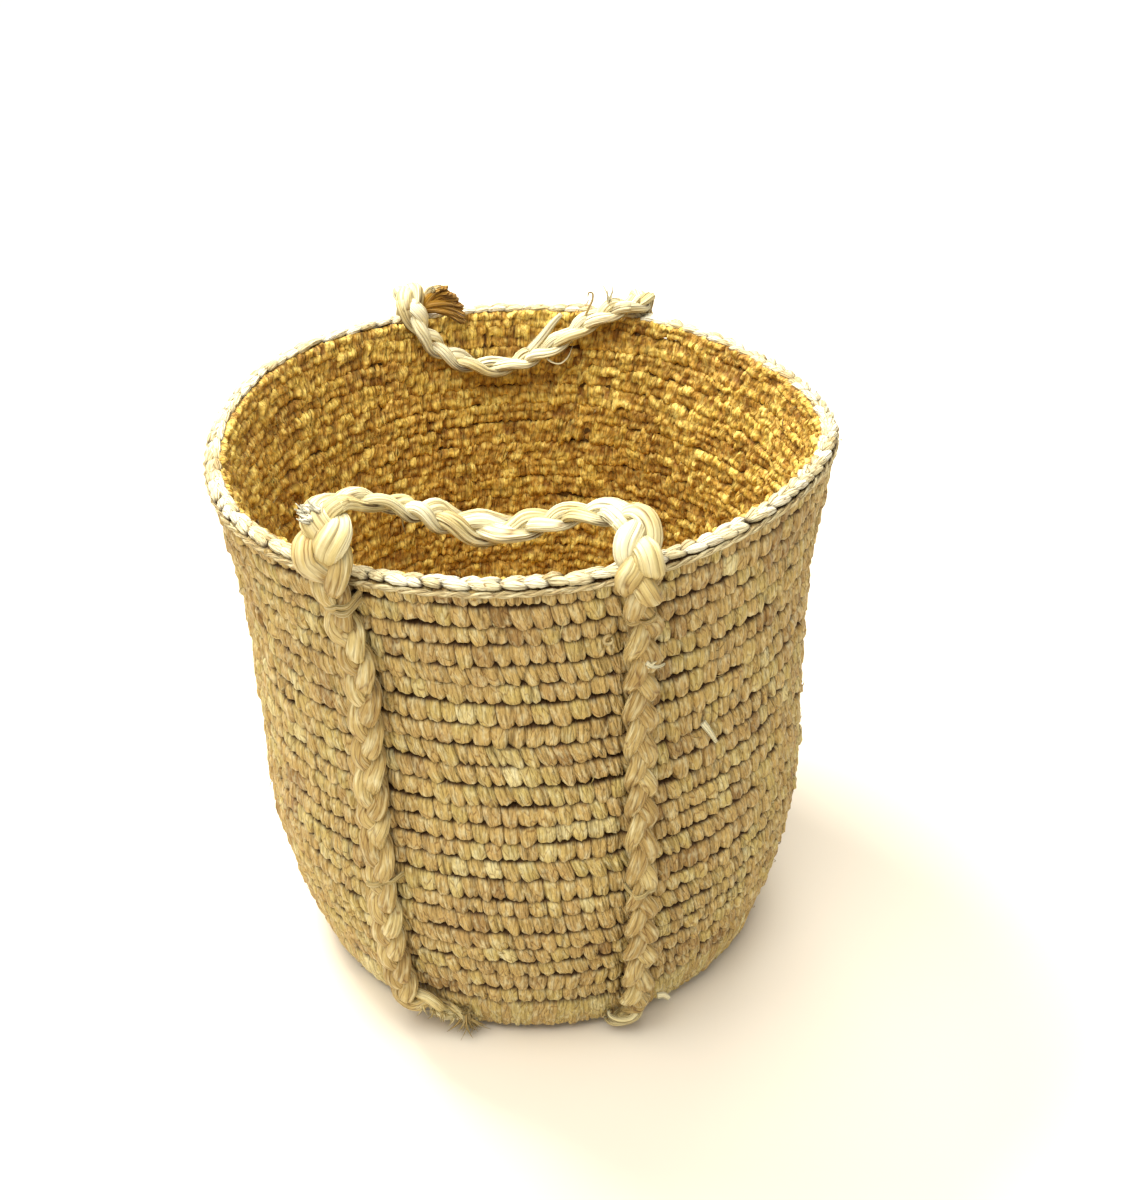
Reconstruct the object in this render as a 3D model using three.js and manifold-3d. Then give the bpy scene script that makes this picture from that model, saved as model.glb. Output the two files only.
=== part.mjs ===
// Crocheted raffia basket with two braided handles
// Millimetres, +Z up, the front faces -Y, and the basket stands on z = 0.

import * as THREE from 'three';
import { mergeVertices } from 'three/addons/utils/BufferGeometryUtils.js';
import Module from 'manifold-3d';

const wasm = await Module();
wasm.setup();

// Driving dimensions of the crocheted body

const RIM_RADIUS = 170;
const RIM_HEIGHT = 323;
const WALL_THICKNESS = 9;
const BASE_RADIUS = 118;
const BASE_THICKNESS = 9;
const FOOT_GAP = 0.35;
const EDGING_WIDTH = 9;
const EDGING_HEIGHT = 8;
const SEAT_GAP = 0.35;

// Outer radius of the wall as a share of the rim radius, at shares of the rim height.
const PROFILE_LEVELS = [0, 0.012, 0.03, 0.08, 0.16, 0.3, 0.5, 0.75, 0.88, 1];
const PROFILE_SHARES = [0.753, 0.782, 0.806, 0.841, 0.882, 0.929, 0.931, 0.9365, 0.962, 1];

// The hand-made rim is not quite round and not quite level.
const PLAN_OVAL = 0.6;
const PLAN_SKEW = -0.5;
const PLAN_THREE = -1.4;
const PLAN_FOUR = 0.4;
const WAVE_TILT = 2.6;
const WAVE_SADDLE = -6.1;
const WAVE_FOUR = -1.8;

// Driving dimensions of the braids

const STRAND_RADIUS = 2.65;
const BRAID_SWING = 6.9;
const BRAID_DEPTH = 4.1;
const ROW_SWING = 7.4;
const STRAP_TURN = 62;
const HANDLE_TURN = 61;
const ROW_LENGTH = 12;
const STRAP_CLEARANCE = 0.7;
const FRONT_HINGE_HEIGHT = 336.5;
const BACK_HINGE_HEIGHT = 333;
const HINGE_GAP = 0.6;
const ROOT_LEAN = 3;
const STRAP_END_HEIGHT = 30;
const LASHING_WIDTH = 7;
const LASHING_THICKNESS = 1.6;
const UPPER_LASHING_HEIGHT = 298;
const LOWER_LASHING_HEIGHT = 121;

const FRONT_LEFT_ANGLE = -116.3;
const FRONT_RIGHT_ANGLE = -66.6;
const FRONT_RIGHT_FOOT_ANGLE = -64.6;
const BACK_LEFT_ANGLE = 118;
const BACK_RIGHT_ANGLE = 70.5;

// Finish of the raffia

const WALL_COLOUR = 0xb89a62;
const EDGING_COLOUR = 0xe6d8a8;
const BRAID_COLOUR = 0xdccb96;
const LASHING_COLOUR = 0xc9b47c;
const RAFFIA_ROUGHNESS = 0.8;

const basket = new THREE.Group();

function radians(degrees) {
  return degrees * Math.PI / 180;
}

// Shape of the body

const profile = new THREE.CubicInterpolant(PROFILE_LEVELS, PROFILE_SHARES, 1);

function planOffset(angle) {
  const twofold = PLAN_OVAL * Math.cos(2 * angle) + PLAN_SKEW * Math.sin(2 * angle);
  return twofold + PLAN_THREE * Math.cos(3 * angle) + PLAN_FOUR * Math.cos(4 * angle);
}

function rimWave(angle) {
  const tilt = WAVE_TILT * Math.cos(angle);
  return tilt + WAVE_SADDLE * Math.sin(2 * angle) + WAVE_FOUR * Math.sin(4 * angle);
}

// Outer surface at an angle and a share of the height, moved inward by inset.
function wallPoint(angle, level, inset) {
  const share = profile.evaluate(level)[0];
  const radius = share * (RIM_RADIUS + planOffset(angle) * level ** 0.7) - inset;
  const height = level * RIM_HEIGHT + rimWave(angle) * level ** 3;
  return new THREE.Vector3(radius * Math.cos(angle), radius * Math.sin(angle), height);
}

function wallNormal(angle, level) {
  const step = 0.002;
  const around = wallPoint(angle + step, level, 0).sub(wallPoint(angle - step, level, 0));
  const below = wallPoint(angle, Math.max(level - step, 0), 0);
  const up = wallPoint(angle, Math.min(level + step, 1), 0).sub(below);
  return around.cross(up).normalize();
}

// Share of the height at which the wall reaches a height above the floor.
function levelAt(angle, height) {
  let level = height / RIM_HEIGHT;
  for (let pass = 0; pass < 6; pass += 1) {
    level = (height - rimWave(angle) * level ** 3) / RIM_HEIGHT;
  }
  return level;
}

// Meshes

function addMesh(name, geometry, colour) {
  geometry.deleteAttribute('normal');
  geometry.deleteAttribute('uv');
  const closed = mergeVertices(geometry, 1e-4);
  closed.computeVertexNormals();
  const material = new THREE.MeshStandardMaterial({
    color: colour,
    roughness: RAFFIA_ROUGHNESS,
    metalness: 0,
  });
  const mesh = new THREE.Mesh(closed, material);
  mesh.name = name;
  basket.add(mesh);
}

function solidOf(geometry) {
  geometry.deleteAttribute('normal');
  geometry.deleteAttribute('uv');
  const merged = mergeVertices(geometry, 1e-4);
  return new wasm.Manifold(new wasm.Mesh({
    numProp: 3,
    vertProperties: merged.attributes.position.array,
    triVerts: new Uint32Array(merged.index.array),
  }));
}

function joined(geometries) {
  const solid = geometries.map(solidOf).reduce((whole, next) => whole.add(next));
  const mesh = solid.getMesh();
  const geometry = new THREE.BufferGeometry();
  geometry.setAttribute('position', new THREE.BufferAttribute(mesh.vertProperties, 3));
  geometry.setIndex(new THREE.BufferAttribute(mesh.triVerts, 1));
  return geometry;
}

// A ring closed around the basket, with its section a closed loop of points at each angle.
function closedRing(sectionAt, around) {
  const positions = [];
  const faces = [];
  let count = 0;
  for (let step = 0; step < around; step += 1) {
    const section = sectionAt(2 * Math.PI * step / around);
    count = section.length;
    section.forEach((point) => positions.push(point.x, point.y, point.z));
  }
  for (let step = 0; step < around; step += 1) {
    const next = (step + 1) % around;
    for (let place = 0; place < count; place += 1) {
      const above = (place + 1) % count;
      const a = step * count + place;
      const b = next * count + place;
      const c = next * count + above;
      const d = step * count + above;
      faces.push(a, b, c, a, c, d);
    }
  }
  const geometry = new THREE.BufferGeometry();
  geometry.setAttribute('position', new THREE.Float32BufferAttribute(positions, 3));
  geometry.setIndex(faces);
  return geometry;
}

// Crocheted base, a flat round disc

const baseProfile = [
  new THREE.Vector2(0, 0),
  new THREE.Vector2(BASE_RADIUS, 0),
  new THREE.Vector2(BASE_RADIUS, BASE_THICKNESS),
  new THREE.Vector2(0, BASE_THICKNESS),
];
const baseGeometry = new THREE.LatheGeometry(baseProfile, 64);
baseGeometry.rotateX(Math.PI / 2);
addMesh('base', baseGeometry, WALL_COLOUR);

// Crocheted wall, open at the top, with the base in its foot

const WALL_LEVELS = [0, 0.012, 0.03, 0.08, 0.16, 0.3, 0.5, 0.75, 0.88];
const topLevel = 1 - (EDGING_HEIGHT / 2 + SEAT_GAP) / RIM_HEIGHT;
const footInnerRadius = BASE_RADIUS + FOOT_GAP;
const innerLevels = [0.88, 0.75, 0.5, 0.3, 0.16, 0.08];

function wallSection(angle) {
  const outer = [...WALL_LEVELS, topLevel].map((level) => wallPoint(angle, level, 0));
  const inner = [topLevel, ...innerLevels].map((level) => wallPoint(angle, level, WALL_THICKNESS));
  const footTop = new THREE.Vector3(
    footInnerRadius * Math.cos(angle),
    footInnerRadius * Math.sin(angle),
    BASE_THICKNESS,
  );
  const footBottom = footTop.clone().setZ(0);
  return [...outer, ...inner, footTop, footBottom];
}

addMesh('wall', closedRing(wallSection, 64), WALL_COLOUR);

// Rim edging, one round worked on top of the wall

function edgingSection(angle) {
  const centre = wallPoint(angle, 1, EDGING_WIDTH / 2);
  const outward = new THREE.Vector3(Math.cos(angle), Math.sin(angle), 0);
  const sides = 6;
  const points = [];
  for (let side = 0; side < sides; side += 1) {
    const turn = 2 * Math.PI * side / sides;
    const point = centre.clone().addScaledVector(outward, EDGING_WIDTH / 2 * Math.cos(turn));
    point.z += EDGING_HEIGHT / 2 * Math.sin(turn);
    points.push(point);
  }
  return points;
}

addMesh('rim_edging', closedRing(edgingSection, 64), EDGING_COLOUR);

// Three-strand braid along a centre line, which gives a point and the braid's facing direction

class BraidStrand extends THREE.Curve {
  constructor(centreLine, facing, length, turn, phase, rows) {
    super();
    this.centreLine = centreLine;
    this.facing = facing;
    this.length = length;
    this.turn = turn;
    this.phase = phase;
    this.rows = rows;
  }

  // The strands lie side by side in a row at a hinge and cross after it.
  getPoint(share, target = new THREE.Vector3()) {
    const point = this.centreLine.getPointAt(share);
    const tangent = this.centreLine.getTangentAt(share);
    const facing = this.facing.getPoint(this.centreLine.getUtoTmapping(share));
    facing.addScaledVector(tangent, -facing.dot(tangent)).normalize();
    const across = facing.clone().cross(tangent);
    const along = share * this.length;
    const start = this.rows.start ? along : Infinity;
    const end = this.rows.end ? this.length - along : Infinity;
    const rest = Math.min(start, end);
    const opened = THREE.MathUtils.smoothstep(rest, 0, ROW_LENGTH);
    const rowLength = this.rows.start ? ROW_LENGTH : 0;
    const crossingLength = this.length - rowLength - (this.rows.end ? ROW_LENGTH : 0);
    const crossed = THREE.MathUtils.clamp(along - rowLength, 0, crossingLength);
    const angle = 2 * Math.PI * crossed / this.turn + this.phase;
    const swing = THREE.MathUtils.lerp(ROW_SWING, BRAID_SWING, opened) * Math.sin(angle);
    const depth = BRAID_DEPTH * opened * Math.sin(2 * angle);
    return target.copy(point).addScaledVector(across, swing).addScaledVector(facing, depth);
  }
}

function strandSection(radius, sides) {
  const shape = new THREE.Shape();
  for (let side = 0; side < sides; side += 1) {
    const turn = 2 * Math.PI * (side + 0.5) / sides;
    const x = radius * Math.cos(turn);
    const y = radius * Math.sin(turn);
    if (side === 0) {
      shape.moveTo(x, y);
    } else {
      shape.lineTo(x, y);
    }
  }
  shape.closePath();
  return shape;
}

function tube(path, radius, sides, steps) {
  return new THREE.ExtrudeGeometry(strandSection(radius, sides), {
    steps,
    bevelEnabled: false,
    extrudePath: path,
  });
}

// A free loop's strands end in balls on the hinge line, so they turn close to their straps.
function roundEnd(centre) {
  const ball = new THREE.SphereGeometry(STRAND_RADIUS, 8, 6);
  return ball.translate(centre.x, centre.y, centre.z);
}

const STEPS_PER_TURN = 10;

function addBraid(name, centreLine, facing, turn, rows) {
  const length = centreLine.getLength();
  // A whole number of third turns brings the strands back into a row.
  const rowCount = (rows.start ? 1 : 0) + (rows.end ? 1 : 0);
  const crossing = length - rowCount * ROW_LENGTH;
  const thirds = Math.round(3 * crossing / turn);
  const evenTurn = 3 * crossing / thirds;
  const steps = Math.round(length / evenTurn * STEPS_PER_TURN);
  ['a', 'b', 'c'].forEach((letter, index) => {
    const phase = 2 * Math.PI * index / 3;
    const strand = new BraidStrand(centreLine, facing, length, evenTurn, phase, rows);
    const pieces = [tube(strand, STRAND_RADIUS, 6, steps)];
    if (rows.end) {
      pieces.push(roundEnd(strand.getPoint(0)), roundEnd(strand.getPoint(1)));
    }
    addMesh(`${name}_strand_${letter}`, joined(pieces), BRAID_COLOUR);
  });
}

// Roots, where each free loop meets its straps just above the rim

const strapOutset = BRAID_DEPTH + STRAND_RADIUS + STRAP_CLEARANCE;

function rootPoint(degrees, height) {
  const angle = radians(degrees);
  const radius = RIM_RADIUS + planOffset(angle) + strapOutset + ROOT_LEAN;
  return new THREE.Vector3(radius * Math.cos(angle), radius * Math.sin(angle), height);
}

const frontLeftRoot = rootPoint(FRONT_LEFT_ANGLE, FRONT_HINGE_HEIGHT);
const frontRightRoot = rootPoint(FRONT_RIGHT_ANGLE, FRONT_HINGE_HEIGHT);
const backLeftRoot = rootPoint(BACK_LEFT_ANGLE, BACK_HINGE_HEIGHT);
const backRightRoot = rootPoint(BACK_RIGHT_ANGLE, BACK_HINGE_HEIGHT);

// Level direction out of the basket, square to the line through two roots.
function outwardOf(left, right) {
  const outward = new THREE.Vector3(left.y - right.y, right.x - left.x, 0).normalize();
  return outward.dot(left) > 0 ? outward : outward.negate();
}

// Straps, the part of each braid that lies on the outside of the wall

function strapPoint(angle, height) {
  const level = levelAt(angle, height);
  const outset = wallNormal(angle, level).multiplyScalar(strapOutset);
  return wallPoint(angle, level, 0).add(outset);
}

const STRAP_SHARES = [1, 0.85, 0.7, 0.5, 0.3, 0.16, 0.07, 0];
const STRAP_WALL_HEIGHT = 302;

// Angle of a strap at a height, where its foot may stand at another angle than its root.
function strapAngle(rootDegrees, footDegrees, height) {
  const share = (height - STRAP_END_HEIGHT) / (FRONT_HINGE_HEIGHT - STRAP_END_HEIGHT);
  return THREE.MathUtils.lerp(footDegrees, rootDegrees, share);
}

function addStrap(name, degrees, footDegrees, root, outward) {
  const rise = STRAP_WALL_HEIGHT - STRAP_END_HEIGHT;
  const heights = STRAP_SHARES.map((share) => STRAP_END_HEIGHT + rise * share);
  const top = root.clone();
  top.z -= STRAND_RADIUS + HINGE_GAP;
  const upright = top.clone();
  upright.z -= ROW_LENGTH;
  const angles = heights.map((height) => radians(strapAngle(degrees, footDegrees, height)));
  const wall = heights.map((height, index) => strapPoint(angles[index], height));
  const points = [top, upright, ...wall];
  const facings = angles.map((angle, index) => wallNormal(angle, levelAt(angle, heights[index])));
  const centreLine = new THREE.CatmullRomCurve3(points, false, 'centripetal');
  const facing = new THREE.CatmullRomCurve3([outward, outward, ...facings]);
  addBraid(name, centreLine, facing, STRAP_TURN, { start: true, end: false });
  return points[points.length - 1];
}

const frontOutward = outwardOf(frontLeftRoot, frontRightRoot);
const backOutward = outwardOf(backLeftRoot, backRightRoot);
const frontLeftEnd = addStrap('front_left_strap', FRONT_LEFT_ANGLE, FRONT_LEFT_ANGLE, frontLeftRoot, frontOutward);
const frontRightEnd = addStrap(
  'front_right_strap',
  FRONT_RIGHT_ANGLE,
  FRONT_RIGHT_FOOT_ANGLE,
  frontRightRoot,
  frontOutward,
);
const backLeftEnd = addStrap('back_left_strap', BACK_LEFT_ANGLE, BACK_LEFT_ANGLE, backLeftRoot, backOutward);
const backRightEnd = addStrap('back_right_strap', BACK_RIGHT_ANGLE, BACK_RIGHT_ANGLE, backRightRoot, backOutward);

// Lashings, thin bands sewn through the wall over each strap

const ARCH_POWER = 0.55;

function archPoints(halfWidth, height, foot) {
  const points = [];
  const steps = 10;
  for (let step = 0; step <= steps; step += 1) {
    const turn = Math.PI * step / steps;
    const side = Math.sign(Math.cos(turn)) * Math.abs(Math.cos(turn)) ** ARCH_POWER;
    const rise = Math.abs(Math.sin(turn)) ** ARCH_POWER;
    points.push(new THREE.Vector2(halfWidth * side, foot + (height - foot) * rise));
  }
  return points;
}

function addLashing(name, degrees, height) {
  const angle = radians(degrees);
  const level = levelAt(angle, height);
  const outward = wallNormal(angle, level);
  const across = new THREE.Vector3(-Math.sin(angle), Math.cos(angle), 0);
  const along = across.clone().cross(outward).normalize();
  const halfWidth = ROW_SWING + STRAND_RADIUS + STRAP_CLEARANCE;
  const top = 2 * (BRAID_DEPTH + STRAND_RADIUS) + 2 * STRAP_CLEARANCE;
  const inner = archPoints(halfWidth, top, STRAP_CLEARANCE);
  const outer = archPoints(halfWidth + LASHING_THICKNESS, top + LASHING_THICKNESS, STRAP_CLEARANCE);
  const shape = new THREE.Shape([...outer, ...inner.reverse()]);
  const band = new THREE.ExtrudeGeometry(shape, {
    depth: LASHING_WIDTH,
    steps: 1,
    bevelEnabled: false,
  });
  const place = new THREE.Matrix4().makeBasis(across, outward, across.clone().cross(outward));
  const seat = wallPoint(angle, level, 0).addScaledVector(along, -LASHING_WIDTH / 2);
  place.setPosition(seat);
  band.applyMatrix4(place);
  addMesh(name, band, LASHING_COLOUR);
}

addLashing('front_left_upper_lashing', FRONT_LEFT_ANGLE, UPPER_LASHING_HEIGHT);
addLashing('front_left_lower_lashing', FRONT_LEFT_ANGLE, LOWER_LASHING_HEIGHT);
const frontRightUpper = strapAngle(FRONT_RIGHT_ANGLE, FRONT_RIGHT_FOOT_ANGLE, UPPER_LASHING_HEIGHT);
addLashing('front_right_upper_lashing', frontRightUpper, UPPER_LASHING_HEIGHT);
const frontRightLower = strapAngle(FRONT_RIGHT_ANGLE, FRONT_RIGHT_FOOT_ANGLE, LOWER_LASHING_HEIGHT);
addLashing('front_right_lower_lashing', frontRightLower, LOWER_LASHING_HEIGHT);
addLashing('back_left_upper_lashing', BACK_LEFT_ANGLE, UPPER_LASHING_HEIGHT);
addLashing('back_left_lower_lashing', BACK_LEFT_ANGLE, LOWER_LASHING_HEIGHT);
addLashing('back_right_upper_lashing', BACK_RIGHT_ANGLE, UPPER_LASHING_HEIGHT);
addLashing('back_right_lower_lashing', BACK_RIGHT_ANGLE, LOWER_LASHING_HEIGHT);

// Tails, the gathered ends of each strap, turned along the foot of the wall

const TAIL_GAP = 0.8;

function addTail(name, strapEnd, degrees, radius, reach) {
  const start = radians(degrees);
  const outset = -radius - TAIL_GAP;
  const top = strapEnd.clone();
  top.z -= STRAND_RADIUS + 1.4 * TAIL_GAP;
  const middle = wallPoint(start + radians(reach) * 0.12, 0.065, outset);
  middle.z = Math.max(middle.z - radius, radius + 6);
  const turned = wallPoint(start + radians(reach) * 0.5, 0.045, outset);
  turned.z = radius + 1.5;
  const end = wallPoint(start + radians(reach), 0.045, outset);
  end.z = radius + 0.6;
  const path = new THREE.CatmullRomCurve3([top, middle, turned, end]);
  addMesh(name, tube(path, radius, 8, 8), BRAID_COLOUR);
}

addTail('front_left_tail', frontLeftEnd, FRONT_LEFT_ANGLE, 4.4, 15);
addTail('front_right_tail', frontRightEnd, FRONT_RIGHT_FOOT_ANGLE, 3.2, -7);
addTail('back_left_tail', backLeftEnd, BACK_LEFT_ANGLE, 3.8, -10);
addTail('back_right_tail', backRightEnd, BACK_RIGHT_ANGLE, 3.8, 10);

// Handles, the free loop of each braid, which swings on the line through its two roots

// Each stop is a share of the span, a reach inward, a rise, and how far the face tips up.
function addHandle(name, left, right, outward, stops) {
  const span = right.clone().sub(left);
  const points = [];
  const facings = [];
  stops.forEach(([share, reach, rise, tip]) => {
    const point = left.clone().addScaledVector(span, share).addScaledVector(outward, -reach);
    point.z += rise;
    points.push(point);
    const facing = outward.clone().multiplyScalar(Math.cos(radians(tip)));
    facing.z = Math.sin(radians(tip));
    facings.push(facing);
  });
  const centreLine = new THREE.CatmullRomCurve3(points, false, 'centripetal');
  const facing = new THREE.CatmullRomCurve3(facings);
  addBraid(name, centreLine, facing, HANDLE_TURN, { start: true, end: true });
  const middle = left.clone().add(right).multiplyScalar(0.5);
  console.log(name, 'hinge at', middle.toArray(), 'along', span.normalize().toArray());
  console.log(name, 'length', centreLine.getLength());
}

const FRONT_STOPS = [
  [0, 0, 0, 30],
  [0, 6, 8, 34],
  [0, 13, 14, 38],
  [0.03, 20, 16, 40],
  [0.09, 27, 13, 42],
  [0.193, 36, 3, 42],
  [0.34, 44, -8, 42],
  [0.48, 47, -14, 42],
  [0.667, 44, -8, 42],
  [0.81, 36, 2, 42],
  [0.91, 27, 9, 41],
  [0.975, 19, 12, 39],
  [1, 12, 11, 36],
  [1, 5, 6, 33],
  [1, 0, 0, 30],
];

const BACK_STOPS = [
  [0, 0, 0, 45],
  [0, 7, 6, 60],
  [0.008, 15, 7, 92],
  [0.025, 23, 2.5, 118],
  [0.065, 26, -9.5, 130],
  [0.165, 24, -27.5, 138],
  [0.36, 22.5, -39.5, 142],
  [0.575, 22.5, -32.5, 142],
  [0.755, 22, -16, 140],
  [0.885, 21, -5.5, 130],
  [0.955, 18, -0.5, 112],
  [0.99, 12, 2, 88],
  [1, 6, 2.3, 60],
  [1, 0, 0, 45],
];

addHandle('front_handle', frontLeftRoot, frontRightRoot, frontOutward, FRONT_STOPS);
addHandle('back_handle', backLeftRoot, backRightRoot, backOutward, BACK_STOPS);

export default basket;
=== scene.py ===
# %% [markdown]
# A crocheted raffia basket with two braided handles, dressed around its CAD frame.
# The frame brings the sizes, the hinges and the bodies. A piece that stands for a CAD
# solid lies on it or within about eight millimetres of it, and shows the stitches, strips
# and frayed ends that the solid leaves out.

import bpy
import numpy as np
from mathutils import Matrix


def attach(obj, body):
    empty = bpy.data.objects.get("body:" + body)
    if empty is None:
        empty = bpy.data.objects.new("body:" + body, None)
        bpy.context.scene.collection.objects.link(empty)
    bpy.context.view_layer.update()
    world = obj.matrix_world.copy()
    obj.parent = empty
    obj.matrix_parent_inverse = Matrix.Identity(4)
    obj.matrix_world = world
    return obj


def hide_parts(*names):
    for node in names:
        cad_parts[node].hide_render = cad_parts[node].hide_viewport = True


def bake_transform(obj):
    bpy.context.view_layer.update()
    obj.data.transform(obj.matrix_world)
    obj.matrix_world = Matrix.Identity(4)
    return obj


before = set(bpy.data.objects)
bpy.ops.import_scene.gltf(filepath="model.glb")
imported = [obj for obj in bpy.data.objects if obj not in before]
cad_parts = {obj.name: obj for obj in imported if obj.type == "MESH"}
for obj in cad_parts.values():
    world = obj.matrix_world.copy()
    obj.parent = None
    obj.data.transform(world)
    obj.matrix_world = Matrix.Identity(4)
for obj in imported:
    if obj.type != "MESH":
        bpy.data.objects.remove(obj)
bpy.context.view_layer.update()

# %% [markdown]
# The camera comes first, so that everything later can be judged in one picture. It could
# be aimed by eye, but its place and turn were solved from points on the basket's outline,
# so it is written as three directions and a position. The lens follows from the focal
# length in pixels and the height of the picture.

# %% Camera
MM = 0.001
PICTURE_HEIGHT = 1200
FOCAL_PIXELS = 1701.976
SENSOR_WIDTH = 36
CAMERA_POSITION = (85.727, -833.027, 736.142)
CAMERA_RIGHT = (0.99786714, 0.0613659, -0.02225771)
CAMERA_UP = (-0.01385771, 0.53233916, 0.84641774)
CAMERA_BACK = (0.06378983, -0.844304, 0.53205414)


def add_object(name, data):
    """A new object in the scene that shows a mesh, a lamp or a camera."""
    made = bpy.data.objects.new(name, data)
    bpy.context.scene.collection.objects.link(made)
    return made


camera_data = bpy.data.cameras.new("camera")
camera_data.sensor_width = SENSOR_WIDTH
camera_data.lens = FOCAL_PIXELS * SENSOR_WIDTH / PICTURE_HEIGHT
camera = add_object("camera", camera_data)
turned = Matrix((CAMERA_RIGHT, CAMERA_UP, CAMERA_BACK)).transposed().to_4x4()
camera.matrix_world = Matrix.Translation([v * MM for v in CAMERA_POSITION]) @ turned
bpy.context.scene.camera = camera
print("lens", round(camera_data.lens, 2), "mm")

# %% [markdown]
# The basket stands on a white sweep. One large soft panel hangs up to the left and a
# little behind: it makes the rim glow and drops a weak shadow to the lower right. A second
# panel over the front fills the inside of the basket and models the stitches, and a dim
# world fills in from all round. A third panel only whitens the sweep far behind. A small
# lamp would cut hard shadows, and a world alone would leave the stitches flat. The floor
# is a warm white, so that what it throws back on the wall is warm too.

# %% Floor and light
FLOOR_SIZE = 8.0
FLOOR_DROP = 0.0002
FLOOR_COLOUR = (0.86, 0.79, 0.67, 1)
FLOOR_ROUGHNESS = 0.9
WORLD_COLOUR = (1.0, 0.985, 0.95, 1)
WORLD_STRENGTH = 0.57
LAMP_COLOUR = (1.0, 0.975, 0.92)
BASKET_CENTRE = (0.0, -0.05, 0.15)
LAMPS = {
    "back panel": ((-0.70, 0.50, 1.75), BASKET_CENTRE, 0.6, 41),
    "front panel": ((-0.24, -0.75, 1.85), BASKET_CENTRE, 1.3, 34),
    "sweep panel": ((0.3, 2.5, 1.9), (0.3, 2.6, 0.0), 1.8, 80),
}


def add_floor():
    """One flat square just under the basket, centred on it."""
    half = FLOOR_SIZE / 2
    corners = [(-half, -half), (half, -half), (half, half), (-half, half)]
    mesh = bpy.data.meshes.new("floor")
    mesh.from_pydata([(x, y, -FLOOR_DROP) for x, y in corners], [], [(0, 1, 2, 3)])
    floor = add_object("floor", mesh)
    paint = bpy.data.materials.new("white sweep")
    paint.use_nodes = True
    paint.node_tree.nodes["Principled BSDF"].inputs["Base Color"].default_value = FLOOR_COLOUR
    paint.node_tree.nodes["Principled BSDF"].inputs["Roughness"].default_value = FLOOR_ROUGHNESS
    mesh.materials.append(paint)


def add_lamp(name, position, target, size, power):
    """A square lamp at a position, turned to face a target."""
    data = bpy.data.lights.new(name, "AREA")
    data.size = size
    data.energy = power
    data.color = LAMP_COLOUR
    place = Matrix.Translation(position)
    aim = Matrix.Translation(target).translation - place.translation
    add_object(name, data).matrix_world = place @ aim.to_track_quat("-Z", "Y").to_matrix().to_4x4()


world = bpy.data.worlds.new("soft white")
world.use_nodes = True
world.node_tree.nodes["Background"].inputs["Color"].default_value = WORLD_COLOUR
world.node_tree.nodes["Background"].inputs["Strength"].default_value = WORLD_STRENGTH
bpy.context.scene.world = world
bpy.context.scene.view_settings.view_transform = "Standard"
add_floor()
for lamp_name, lamp in LAMPS.items():
    add_lamp(lamp_name, *lamp)
print("floor and lamps placed:", ", ".join(LAMPS))

# %% [markdown]
# Raffia is a dry palm leaf split into strips. Each strip is satin, straw to greenish
# yellow or pinkish tan, and has fine lengthwise fibres. A picture of raffia would be the
# short way, but no pictures are used here, so the fibres are noise pulled out long on each
# piece's own map, where one step across is a millimetre wide and one step along is many.
# Each stitch or strip carries a tone of its own, and hollows carry a value that darkens
# them with painted shade. Creases between folded strips get painted shade too, and glints
# on the folds are painted highlights. Inside the basket the strips are crumpled into small
# grains, with painted highlights on their tops and painted shade in their rims, and the
# inside is brightened and warmed with painted light.

# %% Raffia finish
STRAW_TONES = (
    (0.00, (0.380, 0.225, 0.066, 1)),
    (0.25, (0.570, 0.385, 0.134, 1)),
    (0.50, (0.605, 0.420, 0.140, 1)),
    (0.72, (0.610, 0.465, 0.148, 1)),
    (1.00, (0.830, 0.710, 0.340, 1)),
)
PALE_TONES = (
    (0.00, (0.430, 0.285, 0.090, 1)),
    (0.30, (0.560, 0.410, 0.150, 1)),
    (0.60, (0.690, 0.560, 0.240, 1)),
    (1.00, (0.930, 0.870, 0.560, 1)),
)
# The rim raffia is pale, and its tones are paler still as painted light, where the light from above makes the
# rim glow.
RIM_TONES = (
    (0.00, (0.470, 0.350, 0.150, 1)),
    (0.45, (0.760, 0.660, 0.370, 1)),
    (1.00, (0.940, 0.900, 0.680, 1)),
)
# Tones for the flap on the back loop: dark brown as painted shade on its inner side, and pale at its top as
# painted light on its lit edge.
FLAP_SHADE_AND_LIGHT_TONES = (
    (0.00, (0.340, 0.145, 0.012, 1)),
    (0.60, (0.560, 0.300, 0.035, 1)),
    (1.00, (0.860, 0.740, 0.420, 1)),
)
# Painted shade and light: hollows are mixed toward the first colour as painted shade; the second brightens
# and warms the inside as painted light; the third darkens fibre streaks, and is painted shade in creases and
# in the grains' rims; the fourth is screened over folds and grain tops as painted highlights.
PAINTED_SHADE_COLOUR = (0.062, 0.025, 0.004, 1)
INSIDE_PAINTED_LIGHT = (1.34, 1.16, 0.56, 1)
STREAK_AND_SHADE_COLOUR = (0.30, 0.165, 0.045, 1)
GLINT_COLOUR = (0.42, 0.39, 0.23, 1)
SPECULAR = 0.35
GRAIN_SIZE = 4.6
STREAK_ROUGHNESS = 0.6
PATCHES = {"Scale": 26.0, "Detail": 2.0, "Roughness": 0.5}
FOLD_STRETCH = (3.6, 1.1)
PLEAT_STRETCH = (3.2, 2.2)
STREAK_LIMITS = (0.32, 0.56)
CREASE_SHADE_LIMITS = (0.0, 0.07)
GLINT_LIMITS = (0.48, 0.74)
PAINTED_SHADE_LIMITS = (0.15, 0.85)
PATCH_RANGE = (0.3, 0.7, -0.22, 0.22)
INSIDE_STREAKS = (0.0, 1.0, 1.0, 0.4)
GRAIN_RIM_RANGE = (0.38, 0.80, 0.0, 0.62)
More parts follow.
